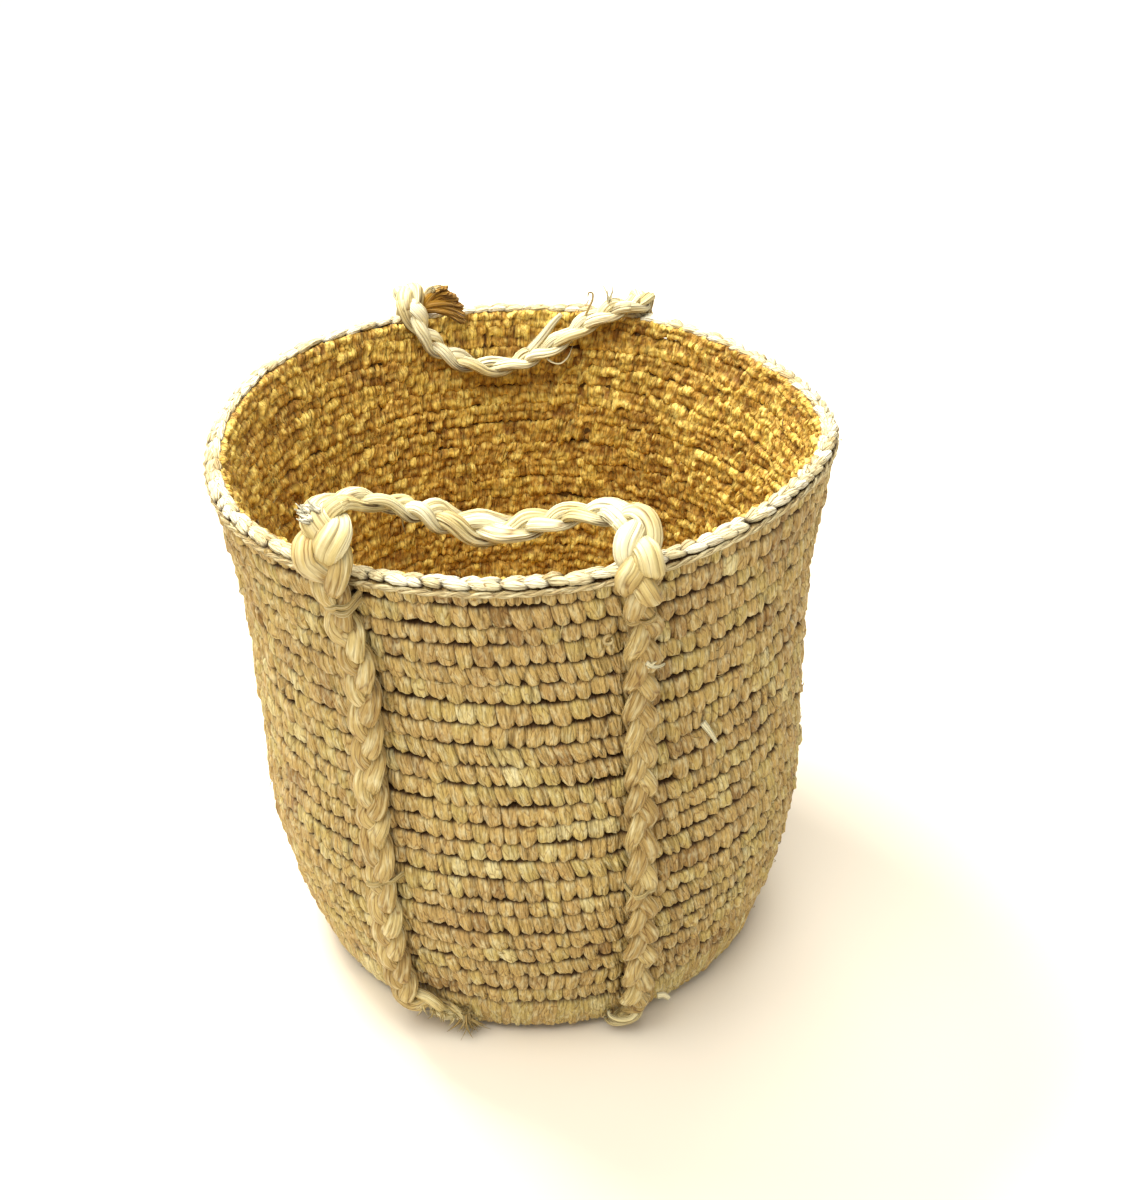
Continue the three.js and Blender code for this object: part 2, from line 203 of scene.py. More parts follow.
GRAIN_GLINT_RANGE = (0.12, 0.42, 0.65, 0.0)
ROUGHNESS_RANGE = (0.3, 0.7, 0.72, 0.48)
FIBRE_HEIGHTS = (0.2, 0.8, 0.0, 0.35)
FOLD_HEIGHTS = (0.2, 0.8, 0.0, 1.4)
PLEAT_HEIGHTS = (0.0, 0.30, 0.0, 0.8)


def add_node(tree, kind, settings=None, values=None):
    """A node of one kind with some settings, and a socket or a plain value for its inputs."""
    made = tree.nodes.new(kind)
    for name, value in (settings or {}).items():
        setattr(made, name, value)
    for name, value in (values or {}).items():
        if isinstance(value, bpy.types.NodeSocket):
            tree.links.new(value, made.inputs[name])
        else:
            made.inputs[name].default_value = value
    return made


def stretched(tree, strip_map, across_mm, along_mm):
    """The strip map in steps of across_mm by along_mm, so that a pattern on it comes out long."""
    steps = (1 / (across_mm * MM), 1 / (along_mm * MM), 1)
    values = {0: strip_map, 1: steps}
    return add_node(tree, "ShaderNodeVectorMath", {"operation": "MULTIPLY"}, values).outputs["Vector"]


def add_streaks(tree, place, detail):
    """Noise in streaks, one step of the place wide and one long."""
    values = {"Vector": place, "Scale": 1.0, "Detail": detail, "Roughness": STREAK_ROUGHNESS}
    return add_node(tree, "ShaderNodeTexNoise", {"noise_dimensions": "2D"}, values).outputs["Fac"]


def add_pleats(tree, place):
    """Distance to the edge of long cells: nought on the creases between folded strips."""
    settings = {"voronoi_dimensions": "2D", "feature": "DISTANCE_TO_EDGE"}
    values = {"Vector": place, "Scale": 1.0}
    return add_node(tree, "ShaderNodeTexVoronoi", settings, values).outputs["Distance"]


def add_range(tree, source, limits):
    """A value carried over by its limits: from low, from high, to low and to high."""
    values = dict(zip(("From Min", "From Max", "To Min", "To Max"), limits))
    return add_node(tree, "ShaderNodeMapRange", values={"Value": source, **values}).outputs["Result"]


def add_math(tree, operation, first, second):
    """Two values added, subtracted or multiplied."""
    values = {0: first, 1: second}
    return add_node(tree, "ShaderNodeMath", {"operation": operation}, values).outputs["Value"]


def add_mix(tree, blend, share, first, second):
    """Two colours mixed by a share: colour sockets 6 and 7 go in, and 2 comes out."""
    settings = {"data_type": "RGBA", "blend_type": blend}
    return add_node(tree, "ShaderNodeMix", settings, {0: share, 6: first, 7: second}).outputs[2]


def add_ramp(tree, tones, source):
    """A colour read off a row of tones by a value."""
    ramp = add_node(tree, "ShaderNodeValToRGB", values={"Fac": source})
    while len(ramp.color_ramp.elements) < len(tones):
        ramp.color_ramp.elements.new(0.5)
    for stop, (position, colour) in zip(ramp.color_ramp.elements, tones):
        stop.position = position
        stop.color = colour
    return ramp.outputs["Color"]


def raffia(name, tones, fibre, relief, painted_shade_strength, streaks, creases, glints=0.9):
    """Satin raffia: tone by stitch, fibres, pleats and inner grains, with painted highlights on
    folds and grain tops, painted shade in recesses, creases and grain rims, and painted warm
    light inside.

    fibre is a fibre's width and length in millimetres, and the last four say how strongly
    a thing shows. The bump height is relief millimetres times the sum of fibres, folds and
    pleats, less the rims of the grains, each held to its own range."""
    finish = bpy.data.materials.new(name)
    finish.use_nodes = True
    tree = finish.node_tree
    skin = tree.nodes["Principled BSDF"]
    strip_map = add_node(tree, "ShaderNodeUVMap", {"uv_map": "strip"}).outputs["UV"]
    place = add_node(tree, "ShaderNodeTexCoord").outputs["Object"]
    tone, painted_shade, inside = (
        add_node(tree, "ShaderNodeAttribute", {"attribute_name": word}).outputs["Fac"]
        for word in ("tone", "painted_shade", "inside")
    )
    wide, long = fibre
    fibres = add_streaks(tree, stretched(tree, strip_map, wide, long), 3.0)
    fold_place = stretched(tree, strip_map, wide * FOLD_STRETCH[0], long * FOLD_STRETCH[1])
    folds = add_streaks(tree, fold_place, 2.0)
    pleat_place = stretched(tree, strip_map, wide * PLEAT_STRETCH[0], long * PLEAT_STRETCH[1])
    pleats = add_pleats(tree, pleat_place)
    patches = add_node(tree, "ShaderNodeTexNoise", values={"Vector": place, **PATCHES}).outputs["Fac"]
    grains = {"Vector": place, "Scale": 1 / (GRAIN_SIZE * MM)}
    grains = add_node(tree, "ShaderNodeTexVoronoi", values=grains).outputs["Distance"]
    # Inside, the grains' rims are painted shade as well as dips in the bump, and their tops get painted
    # highlights.
    grain_rim_dips_and_shade = add_math(tree, "MULTIPLY", add_range(tree, grains, GRAIN_RIM_RANGE), inside)
    grain_top_glints = add_math(tree, "MULTIPLY", add_range(tree, grains, GRAIN_GLINT_RANGE), inside)
    streak = add_range(tree, fibres, (*STREAK_LIMITS, streaks, 0.0))
    streak = add_math(tree, "MULTIPLY", streak, add_range(tree, inside, INSIDE_STREAKS))
    # Over the tone: dark fibre streaks, painted shade in the pleats' creases, painted highlights on the
    # folds, painted shade in the grains' rims and painted highlights on their tops, painted warm light
    # inside, and painted shade in the recesses.
    layers = (
        ("MULTIPLY", streak, STREAK_AND_SHADE_COLOUR),
        ("MULTIPLY", add_range(tree, pleats, (*CREASE_SHADE_LIMITS, creases, 0.0)), STREAK_AND_SHADE_COLOUR),
        ("SCREEN", add_range(tree, folds, (*GLINT_LIMITS, 0.0, glints)), GLINT_COLOUR),
        ("MULTIPLY", grain_rim_dips_and_shade, STREAK_AND_SHADE_COLOUR),
        ("SCREEN", grain_top_glints, GLINT_COLOUR),
        ("MULTIPLY", inside, INSIDE_PAINTED_LIGHT),
        ("MIX", add_range(tree, painted_shade, (*PAINTED_SHADE_LIMITS, 0.0, painted_shade_strength)), PAINTED_SHADE_COLOUR),
    )
    colour = add_ramp(tree, tones, add_math(tree, "ADD", tone, add_range(tree, patches, PATCH_RANGE)))
    for blend, share, layer in layers:
        colour = add_mix(tree, blend, share, colour, layer)
    tree.links.new(colour, skin.inputs["Base Color"])
    tree.links.new(add_range(tree, fibres, ROUGHNESS_RANGE), skin.inputs["Roughness"])
    skin.inputs["Specular IOR Level"].default_value = SPECULAR
    height = add_range(tree, fibres, FIBRE_HEIGHTS)
    height = add_math(tree, "ADD", height, add_range(tree, folds, FOLD_HEIGHTS))
    height = add_math(tree, "ADD", height, add_range(tree, pleats, PLEAT_HEIGHTS))
    height = add_math(tree, "SUBTRACT", height, grain_rim_dips_and_shade)
    values = {"Strength": 1.0, "Distance": relief * MM, "Height": height}
    bump = add_node(tree, "ShaderNodeBump", values=values)
    tree.links.new(bump.outputs["Normal"], skin.inputs["Normal"])
    return finish


stitch_raffia = raffia(
    "stitched raffia", STRAW_TONES, (0.85, 7.0), relief=1.05, painted_shade_strength=0.98, streaks=0.34, creases=0.66
)
braid_raffia = raffia(
    "braided raffia", PALE_TONES, (0.70, 30.0), relief=0.70, painted_shade_strength=0.92, streaks=0.30, creases=0.75
)
rim_raffia = raffia(
    "pale rim raffia with painted light", RIM_TONES, (0.70, 7.0), relief=0.60, painted_shade_strength=0.88, streaks=0.40, creases=0.90
)
flap_shade_raffia = raffia(
    "flap raffia with painted shade and light", FLAP_SHADE_AND_LIGHT_TONES, (0.60, 14.0),
    relief=0.45, painted_shade_strength=0.75, streaks=0.40, creases=0.90, glints=0.25,
)
print("raffia finishes", [m.name for m in (stitch_raffia, braid_raffia, rim_raffia, flap_shade_raffia)])

# %% [markdown]
# Every new piece is a grid of points worked out as whole arrays. One helper turns a grid
# into faces, a strip map and the three values that the finish reads. Another joins many
# such grids into one mesh, and turns the faces round if a closed shape comes out inside
# out, which a negative volume tells.

# %% Grids into meshes
def full_turn(count):
    """Even angles round a circle, without the last one, which is the first again."""
    return np.linspace(0, 2 * np.pi, count, endpoint=False)


def map_places(across, along):
    """The strip map, in metres, at every pair of a place across and one along in millimetres."""
    return np.stack(np.broadcast_arrays(across, along), -1) * MM


def grid_part(points, strip, tone, painted_shade, inside, closed_along=False, caps=False):
    """Faces over a grid of points[along, across] that closes across: each joins four neighbours.

    strip has one more row or column than points where the grid closes on itself."""
    rows, columns = points.shape[:2]
    index = np.arange(rows * columns).reshape(rows, columns)
    if closed_along:
        index = np.vstack([index, index[:1]])
    index = np.hstack([index, index[:, :1]])
    corners = np.stack([index[:-1, :-1], index[1:, :-1], index[1:, 1:], index[:-1, 1:]], -1)
    maps = np.stack([strip[:-1, :-1], strip[1:, :-1], strip[1:, 1:], strip[:-1, 1:]], 2)
    loops = corners.reshape(-1)
    uv = maps.reshape(-1, 2)
    sizes = np.full(corners.shape[0] * corners.shape[1], 4)
    face_tone = np.broadcast_to(tone, corners.shape[:2]).reshape(-1)
    if caps:
        ends = [np.arange(columns), np.arange(rows * columns - columns, rows * columns)[::-1]]
        loops = np.concatenate([loops, *ends])
        uv = np.concatenate([uv, strip[0, :columns], strip[-1, :columns][::-1]])
        sizes = np.concatenate([sizes, [columns, columns]])
        face_tone = np.concatenate([face_tone, face_tone[:1], face_tone[-1:]])
    return {
        "points": points.reshape(-1, 3),
        "loops": loops,
        "uv": uv,
        "sizes": sizes,
        "tone": face_tone,
        "painted_shade": np.broadcast_to(painted_shade, (rows, columns)).reshape(-1),
        "inside": np.broadcast_to(inside, (rows, columns)).reshape(-1),
    }


def signed_volume(points, loops, sizes):
    """Volume by the divergence rule: a sixth of each triangle's corners' triple product.

    It is taken about the middle of the points, so that small end caps may be left out."""
    points = points - points.mean(0)
    starts = np.concatenate([[0], np.cumsum(sizes)[:-1]])
    quads = starts[sizes == 4]
    a, b, c, d = (points[loops[quads + k]] for k in range(4))
    first = np.einsum("ij,ij->i", a, np.cross(b, c))
    second = np.einsum("ij,ij->i", a, np.cross(c, d))
    return (first.sum() + second.sum()) / 6


def outward_part(part):
    """The part with its faces turned round if its volume comes out negative."""
    if signed_volume(part["points"], part["loops"], part["sizes"]) >= 0:
        return part
    ends = np.cumsum(part["sizes"])
    starts = ends - part["sizes"]
    position = np.arange(len(part["loops"]))
    first = np.repeat(starts, part["sizes"])
    last = np.repeat(ends, part["sizes"]) - 1
    mirrored = first + last - position
    return {**part, "loops": part["loops"][mirrored], "uv": part["uv"][mirrored]}


def build_piece(name, parts, finish):
    """One smooth-shaded object from many parts, given in millimetres."""
    parts = [outward_part(part) for part in parts]
    counts = [len(part["points"]) for part in parts]
    shifts = np.concatenate([[0], np.cumsum(counts)[:-1]])
    points = np.concatenate([part["points"] for part in parts]) * MM
    loops = np.concatenate([part["loops"] + shift for part, shift in zip(parts, shifts)])
    sizes = np.concatenate([part["sizes"] for part in parts])
    starts = np.concatenate([[0], np.cumsum(sizes)[:-1]])
    mesh = bpy.data.meshes.new(name)
    mesh.vertices.add(len(points))
    mesh.vertices.foreach_set("co", points.astype(np.float32).ravel())
    mesh.loops.add(len(loops))
    mesh.loops.foreach_set("vertex_index", loops.astype(np.int32))
    mesh.polygons.add(len(sizes))
    mesh.polygons.foreach_set("loop_start", starts.astype(np.int32))
    mesh.update(calc_edges=True)
    layer = mesh.uv_layers.new(name="strip")
    strip = np.concatenate([part["uv"] for part in parts])
    layer.data.foreach_set("uv", strip.astype(np.float32).ravel())
    for attribute, domain in (("tone", "FACE"), ("painted_shade", "POINT"), ("inside", "POINT")):
        values = np.concatenate([part[attribute] for part in parts])
        made = mesh.attributes.new(attribute, "FLOAT", domain)
        made.data.foreach_set("value", values.astype(np.float32))
    mesh.polygons.foreach_set("use_smooth", np.ones(len(sizes), bool))
    mesh.materials.append(finish)
    piece = add_object(name, mesh)
    print(name, len(points), "points,", len(sizes), "faces")
    return piece


# %% [markdown]
# The body's shape is the same as the frame's: a profile of shares of the rim radius over
# shares of the height, with a plan that is not quite round and a rim that is not quite
# level. It could be read back from the CAD mesh, but the formula gives a place for any
# stitch at any angle, so it is written again here. A length measured along the profile,
# from the turn at the foot, makes stitch rows of even height possible, and lengths under
# nought run in under the base.

# %% Shape of the body
RIM_RADIUS = 170
RIM_HEIGHT = 323
PROFILE_LEVELS = np.array([0, 0.012, 0.03, 0.08, 0.16, 0.3, 0.5, 0.75, 0.88, 1])
PROFILE_SHARES = np.array([0.753, 0.782, 0.806, 0.841, 0.882, 0.929, 0.931, 0.9365, 0.962, 1])
PLAN_OVAL = 0.6
PLAN_SKEW = -0.5
PLAN_THREE = -1.4
PLAN_FOUR = 0.4
PLAN_POWER = 0.7
WAVE_TILT = 2.6
WAVE_SADDLE = -6.1
WAVE_FOUR = -1.8
WAVE_POWER = 3
LEVEL_COUNT = 2001
LENGTH_STEP = 0.5
LENGTH_PAST_RIM = 12
CORNER_SMOOTHING = 17


def profile_share(level):
    """Cubic through the profile, whose slope at a stop is the mean of its two chords."""
    chords = np.diff(PROFILE_SHARES) / np.diff(PROFILE_LEVELS)
    slopes = np.concatenate([chords[:1], (chords[1:] + chords[:-1]) / 2, chords[-1:]])
    stop = np.clip(np.searchsorted(PROFILE_LEVELS, level, side="right") - 1, 0, len(chords) - 1)
    step = PROFILE_LEVELS[stop + 1] - PROFILE_LEVELS[stop]
    p = (level - PROFILE_LEVELS[stop]) / step
    ends = PROFILE_SHARES[stop] * (2 * p**3 - 3 * p**2 + 1) + PROFILE_SHARES[stop + 1] * (3 * p**2 - 2 * p**3)
    return ends + step * (slopes[stop] * (p**3 - 2 * p**2 + p) + slopes[stop + 1] * (p**3 - p**2))


def plan_offset(angle):
    """How far the plan stands out from a circle: a sum of cosines of 2, 3 and 4 turns."""
    twofold = PLAN_OVAL * np.cos(2 * angle) + PLAN_SKEW * np.sin(2 * angle)
    return twofold + PLAN_THREE * np.cos(3 * angle) + PLAN_FOUR * np.cos(4 * angle)


def rim_wave(angle):
    """How far the rim stands above its mean height: a tilt, a saddle and a fourfold wave."""
    return WAVE_TILT * np.cos(angle) + WAVE_SADDLE * np.sin(2 * angle) + WAVE_FOUR * np.sin(4 * angle)


def smoothed_slope(values):
    """Slope of values along the profile, averaged over a short window that is full in the middle."""
    window = np.hanning(CORNER_SMOOTHING + 2)[1:-1]
    padded = np.pad(np.gradient(values), CORNER_SMOOTHING // 2, mode="edge")
    return np.convolve(padded, window / window.sum(), "valid")


FOOT_RADIUS = RIM_RADIUS * PROFILE_SHARES[0]
levels = np.linspace(0, 1, LEVEL_COUNT)
wall_radii = profile_share(levels) * RIM_RADIUS
wall_steps = np.hypot(np.diff(wall_radii), np.diff(levels * RIM_HEIGHT))
wall_lengths = np.concatenate([[0], np.cumsum(wall_steps)])
WALL_LENGTH = wall_lengths[-1]
profile_lengths = np.arange(-FOOT_RADIUS, WALL_LENGTH + LENGTH_PAST_RIM, LENGTH_STEP)
profile_levels = np.interp(profile_lengths, wall_lengths, levels)
profile_radii = np.where(
    profile_lengths < 0, FOOT_RADIUS + profile_lengths, profile_share(profile_levels) * RIM_RADIUS
)
over_top = np.maximum(profile_lengths - WALL_LENGTH, 0)
profile_heights = profile_levels * RIM_HEIGHT + over_top
radial_slope = smoothed_slope(profile_radii)
height_slope = smoothed_slope(profile_heights)
slope_length = np.hypot(radial_slope, height_slope)
print("length of the wall from foot to rim", round(WALL_LENGTH, 1), "mm")


def body_point(angle, length, outward):
    """Place at an angle and a length along the profile, moved outward square to the profile."""
    level = np.interp(length, profile_lengths, profile_levels)
    radius = np.interp(length, profile_lengths, profile_radii)
    height = np.interp(length, profile_lengths, profile_heights)
    share = np.interp(length, profile_lengths, height_slope / slope_length)
    fall = np.interp(length, profile_lengths, radial_slope / slope_length)
    lift = level**PLAN_POWER
    radius = radius * (1 + plan_offset(angle) * lift / RIM_RADIUS) + outward * share
    height = height + rim_wave(angle) * level**WAVE_POWER - outward * fall
    return np.stack([radius * np.cos(angle), radius * np.sin(angle), height], -1)


# %% [markdown]
# The body is worked in rounds of single crochet, two dozen of them up the wall, each of
# a little over a hundred stitches. From outside a stitch is a rounded pillow,
# taller than wide, whose full lower lip hangs over the round below and leaves a dark nick
# where two stitches meet. From inside it shows as small pebbles in two rows, which do not
# keep in step with the stitches outside. Modelling one stitch and copying it would look
# mechanical, and looping a real yarn would need millions of faces, so each round is one
# closed ring: its section swells and shrinks along the round, between a full section at
# the middle of a stitch and a lean one between two stitches.

# %% Section of a round
STITCH_STEPS = np.array([0.0, 0.06, 0.18, 0.34, 0.50, 0.66, 0.82, 0.94])
FULL_SECTION = np.array([
    (-0.97, -4.2), (-1.04, -1.7), (-0.95, 0.3), (-0.62, 1.1), (-0.10, 1.0),
    (0.40, 0.6), (0.64, 0.0), (0.83, -1.3), (0.97, -4.6),
    (1.08, -7.8), (0.70, -9.9), (0.30, -9.8), (-0.02, -8.5), (-0.34, -9.9), (-0.74, -9.8), (-1.06, -7.8),
])
LEAN_SECTION = np.array([
    (-0.77, -4.8), (-0.81, -3.9), (-0.72, -2.4), (-0.41, -1.2), (0.00, -0.8),
    (0.40, -1.0), (0.62, -1.6), (0.82, -2.9), (0.97, -5.2),
    (1.00, -7.2), (0.66, -8.0), (0.28, -8.0), (-0.04, -7.6), (-0.32, -8.0), (-0.72, -8.0), (-0.98, -7.2),
])
# Painted shade round the section, full and lean: darkest under the lip and where the round above hangs over,
# none on the pillow's face, more between two stitches, and some between the pebbles inside.
FULL_PAINTED_SHADE = np.array([1, 0.85, 0.20, 0, 0, 0, 0.12, 0.80, 1, 0.15, 0.0, 0.0, 0.30, 0.0, 0.0, 0.15])
LEAN_PAINTED_SHADE = np.array([1, 1, 0.95, 0.60, 0.42, 0.48, 0.75, 1, 1, 0.7, 0.48, 0.48, 0.6, 0.48, 0.48, 0.7])
SECTION_INSIDE = np.array([0, 0, 0, 0, 0, 0, 0, 0, 0.5, 1, 1, 1, 1, 1, 1, 1])
UPPER_PEBBLE = np.array([0, 0, 0, 0, 0, 0, 0, 0, 0, 1, 1, 1, 0, 0, 0, 0])
LIP_LEVEL = -0.8
SWELL_FLATNESS = 3.0
SWELL_SHOULDER = 0.6
STITCH_SEED = 7
random = np.random.default_rng(STITCH_SEED)
print("points round a section", len(FULL_SECTION), "and along a stitch", len(STITCH_STEPS))


def swell(steps):
    """Nought between stitches and one in the middle, with full shoulders."""
    return (1 - np.abs(2 * (steps % 1) - 1) ** SWELL_FLATNESS) ** SWELL_SHOULDER


def slow_wave(angle, turns, size):
    """A smooth random wave round the basket: a few cosines with random phases."""
    return sum(
        size * random.normal() / len(turns) * np.cos(turn * angle + random.uniform(0, 2 * np.pi))
        for turn in turns
    )


# %% [markdown]
# A machine would give even pillows, and hands do not. Every stitch gets its own width,
# fullness, droop, twist, fold and tone, the strip in it is crumpled, and each round leans
# and wanders a little. It all comes from one seeded generator, so that the basket comes
# out the same each time.

# %% One round of stitches
STITCH_WIDTH = 8.8
STITCH_LEAN = 0.14
ROUND_OVERLAP = 1.06
LEAST_STITCHES = 6
WIDTH_SPREAD = 0.18
FULLNESS_SPREAD = 0.45
TWIST_SPREAD = 1.5
FOLD_CHANCE = 0.4
FOLD_DEPTHS = (0.5, 1.7)
FOLD_PLACES = (0.25, 0.75)
FOLD_SLANTS = (-0.25, 0.35)
FOLD_REACH = 0.12
FOLD_SHADE = 0.35
PLEAT_DEPTH = 0.30
CRUMPLE_DEPTH = 0.20
INSIDE_CRUMPLE = 0.6
DROOP_SPREADS = (0.11, 0.035)
PEBBLE_WIDTH = 5.2
PEBBLE_SLIP = 0.13
PEBBLE_TONE = 0.28
PEBBLE_WOBBLE = 0.30
PEBBLE_WOBBLES = (2, 8)
PEBBLE_PHASE = 9
PEBBLE_TURNS = (9, 60)
PEBBLE_SPARE = 16
PEBBLE_SHIFT = 4
WANDER_TURNS = (2, 5, 9, 14)
WANDER_SIZE = 1.3
TILT_TURNS = (1, 3, 7)
TILT_SIZE = 0.20
STILL_RADIUS = 80
LEAST_RADIUS = 8
GAP_PAINTED_SHADES = (-0.34, 0.30)
FELTED_PAINTED_SHADE = 0.8
ROUND_TONE = 0.47
FOOT_BOUNCE_LIGHT_TONE = 0.15
STITCH_TONE_SPREAD = 0.17
ROUND_TONE_SPREAD = 0.05
MAP_SHIFT = 0.4


def pebble_rows(angle, pebble_count, upper):
    """Places along two rows of pebbles that wobble apart, as counts of pebbles."""
    wobble = PEBBLE_WOBBLE * random.normal(size=PEBBLE_WOBBLES)
    turns = random.integers(*PEBBLE_TURNS, PEBBLE_WOBBLES)
    jitter = (wobble * np.cos(turns * angle[:, None, None] + PEBBLE_PHASE * wobble)).sum(-1)
    place = angle[:, None] * pebble_count / (2 * np.pi) + jitter
    return np.where(upper, place[:, :1], place[:, 1:])


def pebble_values(place, pebble_count, upper):
    """A random value for each pebble, read at places in the two rows."""
    values = random.normal(size=(2, pebble_count + PEBBLE_SPARE))
    return values[upper.astype(int), (np.floor(place).astype(int) + PEBBLE_SHIFT) % pebble_count]


def stitch_round(low, high, width=STITCH_WIDTH, relief=1.0, inset=0.0, lean=STITCH_LEAN, felted=0.0):
    """A closed ring: point = body point at angle and length, with the section swelling along it.

    Height in the section is a share of half the round's height, and outward is millimetres.
    A felted round hardly narrows between its stitches."""
    middle = (low + high) / 2
    half = (high - low) / 2 * ROUND_OVERLAP
    radius = np.interp(middle, profile_lengths, profile_radii)
    count = max(LEAST_STITCHES, int(round(2 * np.pi * radius / width)))
    widths = 1 + WIDTH_SPREAD * random.uniform(-1, 1, count)
    spans = widths / widths.sum() * 2 * np.pi
    begins = np.cumsum(spans) - spans + random.uniform(0, 2 * np.pi)
    angle = (begins[:, None] + spans[:, None] * STITCH_STEPS).reshape(-1)
    stitch = np.repeat(np.arange(count), len(STITCH_STEPS))
    steps = np.tile(STITCH_STEPS, count)
    swelling = swell(steps)[:, None]
    outside = SECTION_INSIDE < 0.5
    within = SECTION_INSIDE[None, :] > 0.5
    upper = UPPER_PEBBLE[None, :] > 0
    pebble_count = max(LEAST_STITCHES, int(round(2 * np.pi * radius / PEBBLE_WIDTH)))
    place = pebble_rows(angle, pebble_count, upper)
    amount = np.where(within, swell(place), felted + (1 - felted) * swelling)
    height = LEAN_SECTION[:, 0] + (FULL_SECTION[:, 0] - LEAN_SECTION[:, 0]) * amount
    outward = LEAN_SECTION[:, 1] + (FULL_SECTION[:, 1] - LEAN_SECTION[:, 1]) * amount

    fullness = FULLNESS_SPREAD * random.normal(size=count)
    twist = TWIST_SPREAD * random.normal(size=count)
    folded = random.random(count) < FOLD_CHANCE
    fold_depth = np.where(folded, random.uniform(*FOLD_DEPTHS, count), 0)
    fold_place = random.uniform(*FOLD_PLACES, count)
    fold_slant = random.uniform(*FOLD_SLANTS, count)
    slanted = (steps - fold_place[stitch])[:, None]
    slanted = slanted - fold_slant[stitch][:, None] * FULL_SECTION[:, 0]
    crease = fold_depth[stitch][:, None] * np.exp(-((slanted / FOLD_REACH) ** 2)) * outside
    body = fullness[stitch] + twist[stitch] * (steps - 0.5)
    pleats = PLEAT_DEPTH * random.normal(size=len(angle))
    crumple = CRUMPLE_DEPTH * random.normal(size=amount.shape)
    outward = outward + (body[:, None] * swelling - crease) * outside * relief
    pebbles = pebble_values(place, pebble_count, upper)
    outward = outward - pebbles * amount * within * relief
    outward = outward + (pleats[:, None] * amount + crumple * (1 + INSIDE_CRUMPLE * within)) * relief - inset

    droop = DROOP_SPREADS[0] * random.normal(size=count)[stitch]
    droop = droop + DROOP_SPREADS[1] * random.normal(size=len(angle))
    height = height + droop[:, None] * swelling * (FULL_SECTION[:, 0] < LIP_LEVEL)
    height = height + PEBBLE_SLIP * pebble_values(place + 0.5, pebble_count, upper) * within
    wander = slow_wave(angle, WANDER_TURNS, WANDER_SIZE)
    tilt = lean + slow_wave(angle, TILT_TURNS, TILT_SIZE)
    across = angle[:, None] - tilt[:, None] * height * half / max(radius, LEAST_RADIUS)
    along = middle + height * half + wander[:, None] * min(1, radius / STILL_RADIUS)
    points = body_point(across, along, outward)

    # Painted shade: read off the section, with a random darkness in each nick between stitches, less in the
    # nicks of a felted round, and more along each fold.
    painted_shade = LEAN_PAINTED_SHADE + (FULL_PAINTED_SHADE - LEAN_PAINTED_SHADE) * amount
    gap = random.uniform(*GAP_PAINTED_SHADES, count)[stitch]
    painted_shade = painted_shade + gap[:, None] * (steps == STITCH_STEPS[0])[:, None] * outside
    painted_shade = painted_shade * (1 - FELTED_PAINTED_SHADE * felted * (steps <= STITCH_STEPS[1])[:, None])
    painted_shade = np.clip(painted_shade + crease * FOLD_SHADE, 0, 1)
    # Painted light: a felted round is paler, for the light that the floor throws up on the foot.
    tone = ROUND_TONE + FOOT_BOUNCE_LIGHT_TONE * felted + STITCH_TONE_SPREAD * random.normal(size=count)
    tone = tone + ROUND_TONE_SPREAD * random.normal()
    tone = np.clip(tone[stitch][:, None] + PEBBLE_TONE * pebbles * within, 0, 1)
    edges = np.vstack([FULL_SECTION, FULL_SECTION[:1]]) * (half, 1)
    rise = np.concatenate([[0], np.cumsum(np.hypot(*np.diff(edges, axis=0).T))])
    around = np.append(angle, angle[0] + 2 * np.pi) * radius
    strip = map_places(around[:, None], rise[None, :])
    part = grid_part(points, strip, tone, painted_shade, SECTION_INSIDE, closed_along=True)
    shift = random.uniform(0, MAP_SHIFT, (count, 2))[stitch]
    part["uv"] = part["uv"] + np.repeat(shift, len(FULL_SECTION) * 4, axis=0)
    return part


# %% [markdown]
# Round heights follow the real basket, measured along its front: one tall smooth round
# turns the corner at the foot, twenty-two even ones climb the wall, and a short one lies
# under the edging. The base is worked outward from its centre in flat rounds. The wall is
# cut into a few pieces only to keep each mesh small.

# %% Body
TURN_LOW = 5.0
TURN_HIGH = 41.0
TURN_STITCH_WIDTH = 6.4
TOP_ROUND_LOW = 319.5
TOP_ROUND_DROP = 1.0
WALL_ROUNDS = 22
LIMIT_SPREAD = 1.1
BASE_CENTRE_RADIUS = 1.5
BASE_ROUNDS = 10
BASE_INSET = 1.7
BANDS = (("low", 0, 6), ("middle", 6, 11), ("upper", 11, 16), ("high", 16, 19), ("top", 19, 22))


def round_limits():
    """Limits of the wall's rounds: even steps with a small random part, ends held."""
    limits = np.linspace(TURN_HIGH, TOP_ROUND_LOW, WALL_ROUNDS + 1)
    limits[1:-1] += random.uniform(-LIMIT_SPREAD, LIMIT_SPREAD, WALL_ROUNDS - 1)
    return limits


limits = round_limits()
base_limits = np.linspace(BASE_CENTRE_RADIUS - FOOT_RADIUS, TURN_LOW, BASE_ROUNDS + 1)
base_parts = [
    stitch_round(low, high, relief=0.7, inset=BASE_INSET)
    for low, high in zip(base_limits[:-1], base_limits[1:])
]
base_piece = build_piece("base_rounds", base_parts, stitch_raffia)
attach(base_piece, "basket")
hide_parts("base")

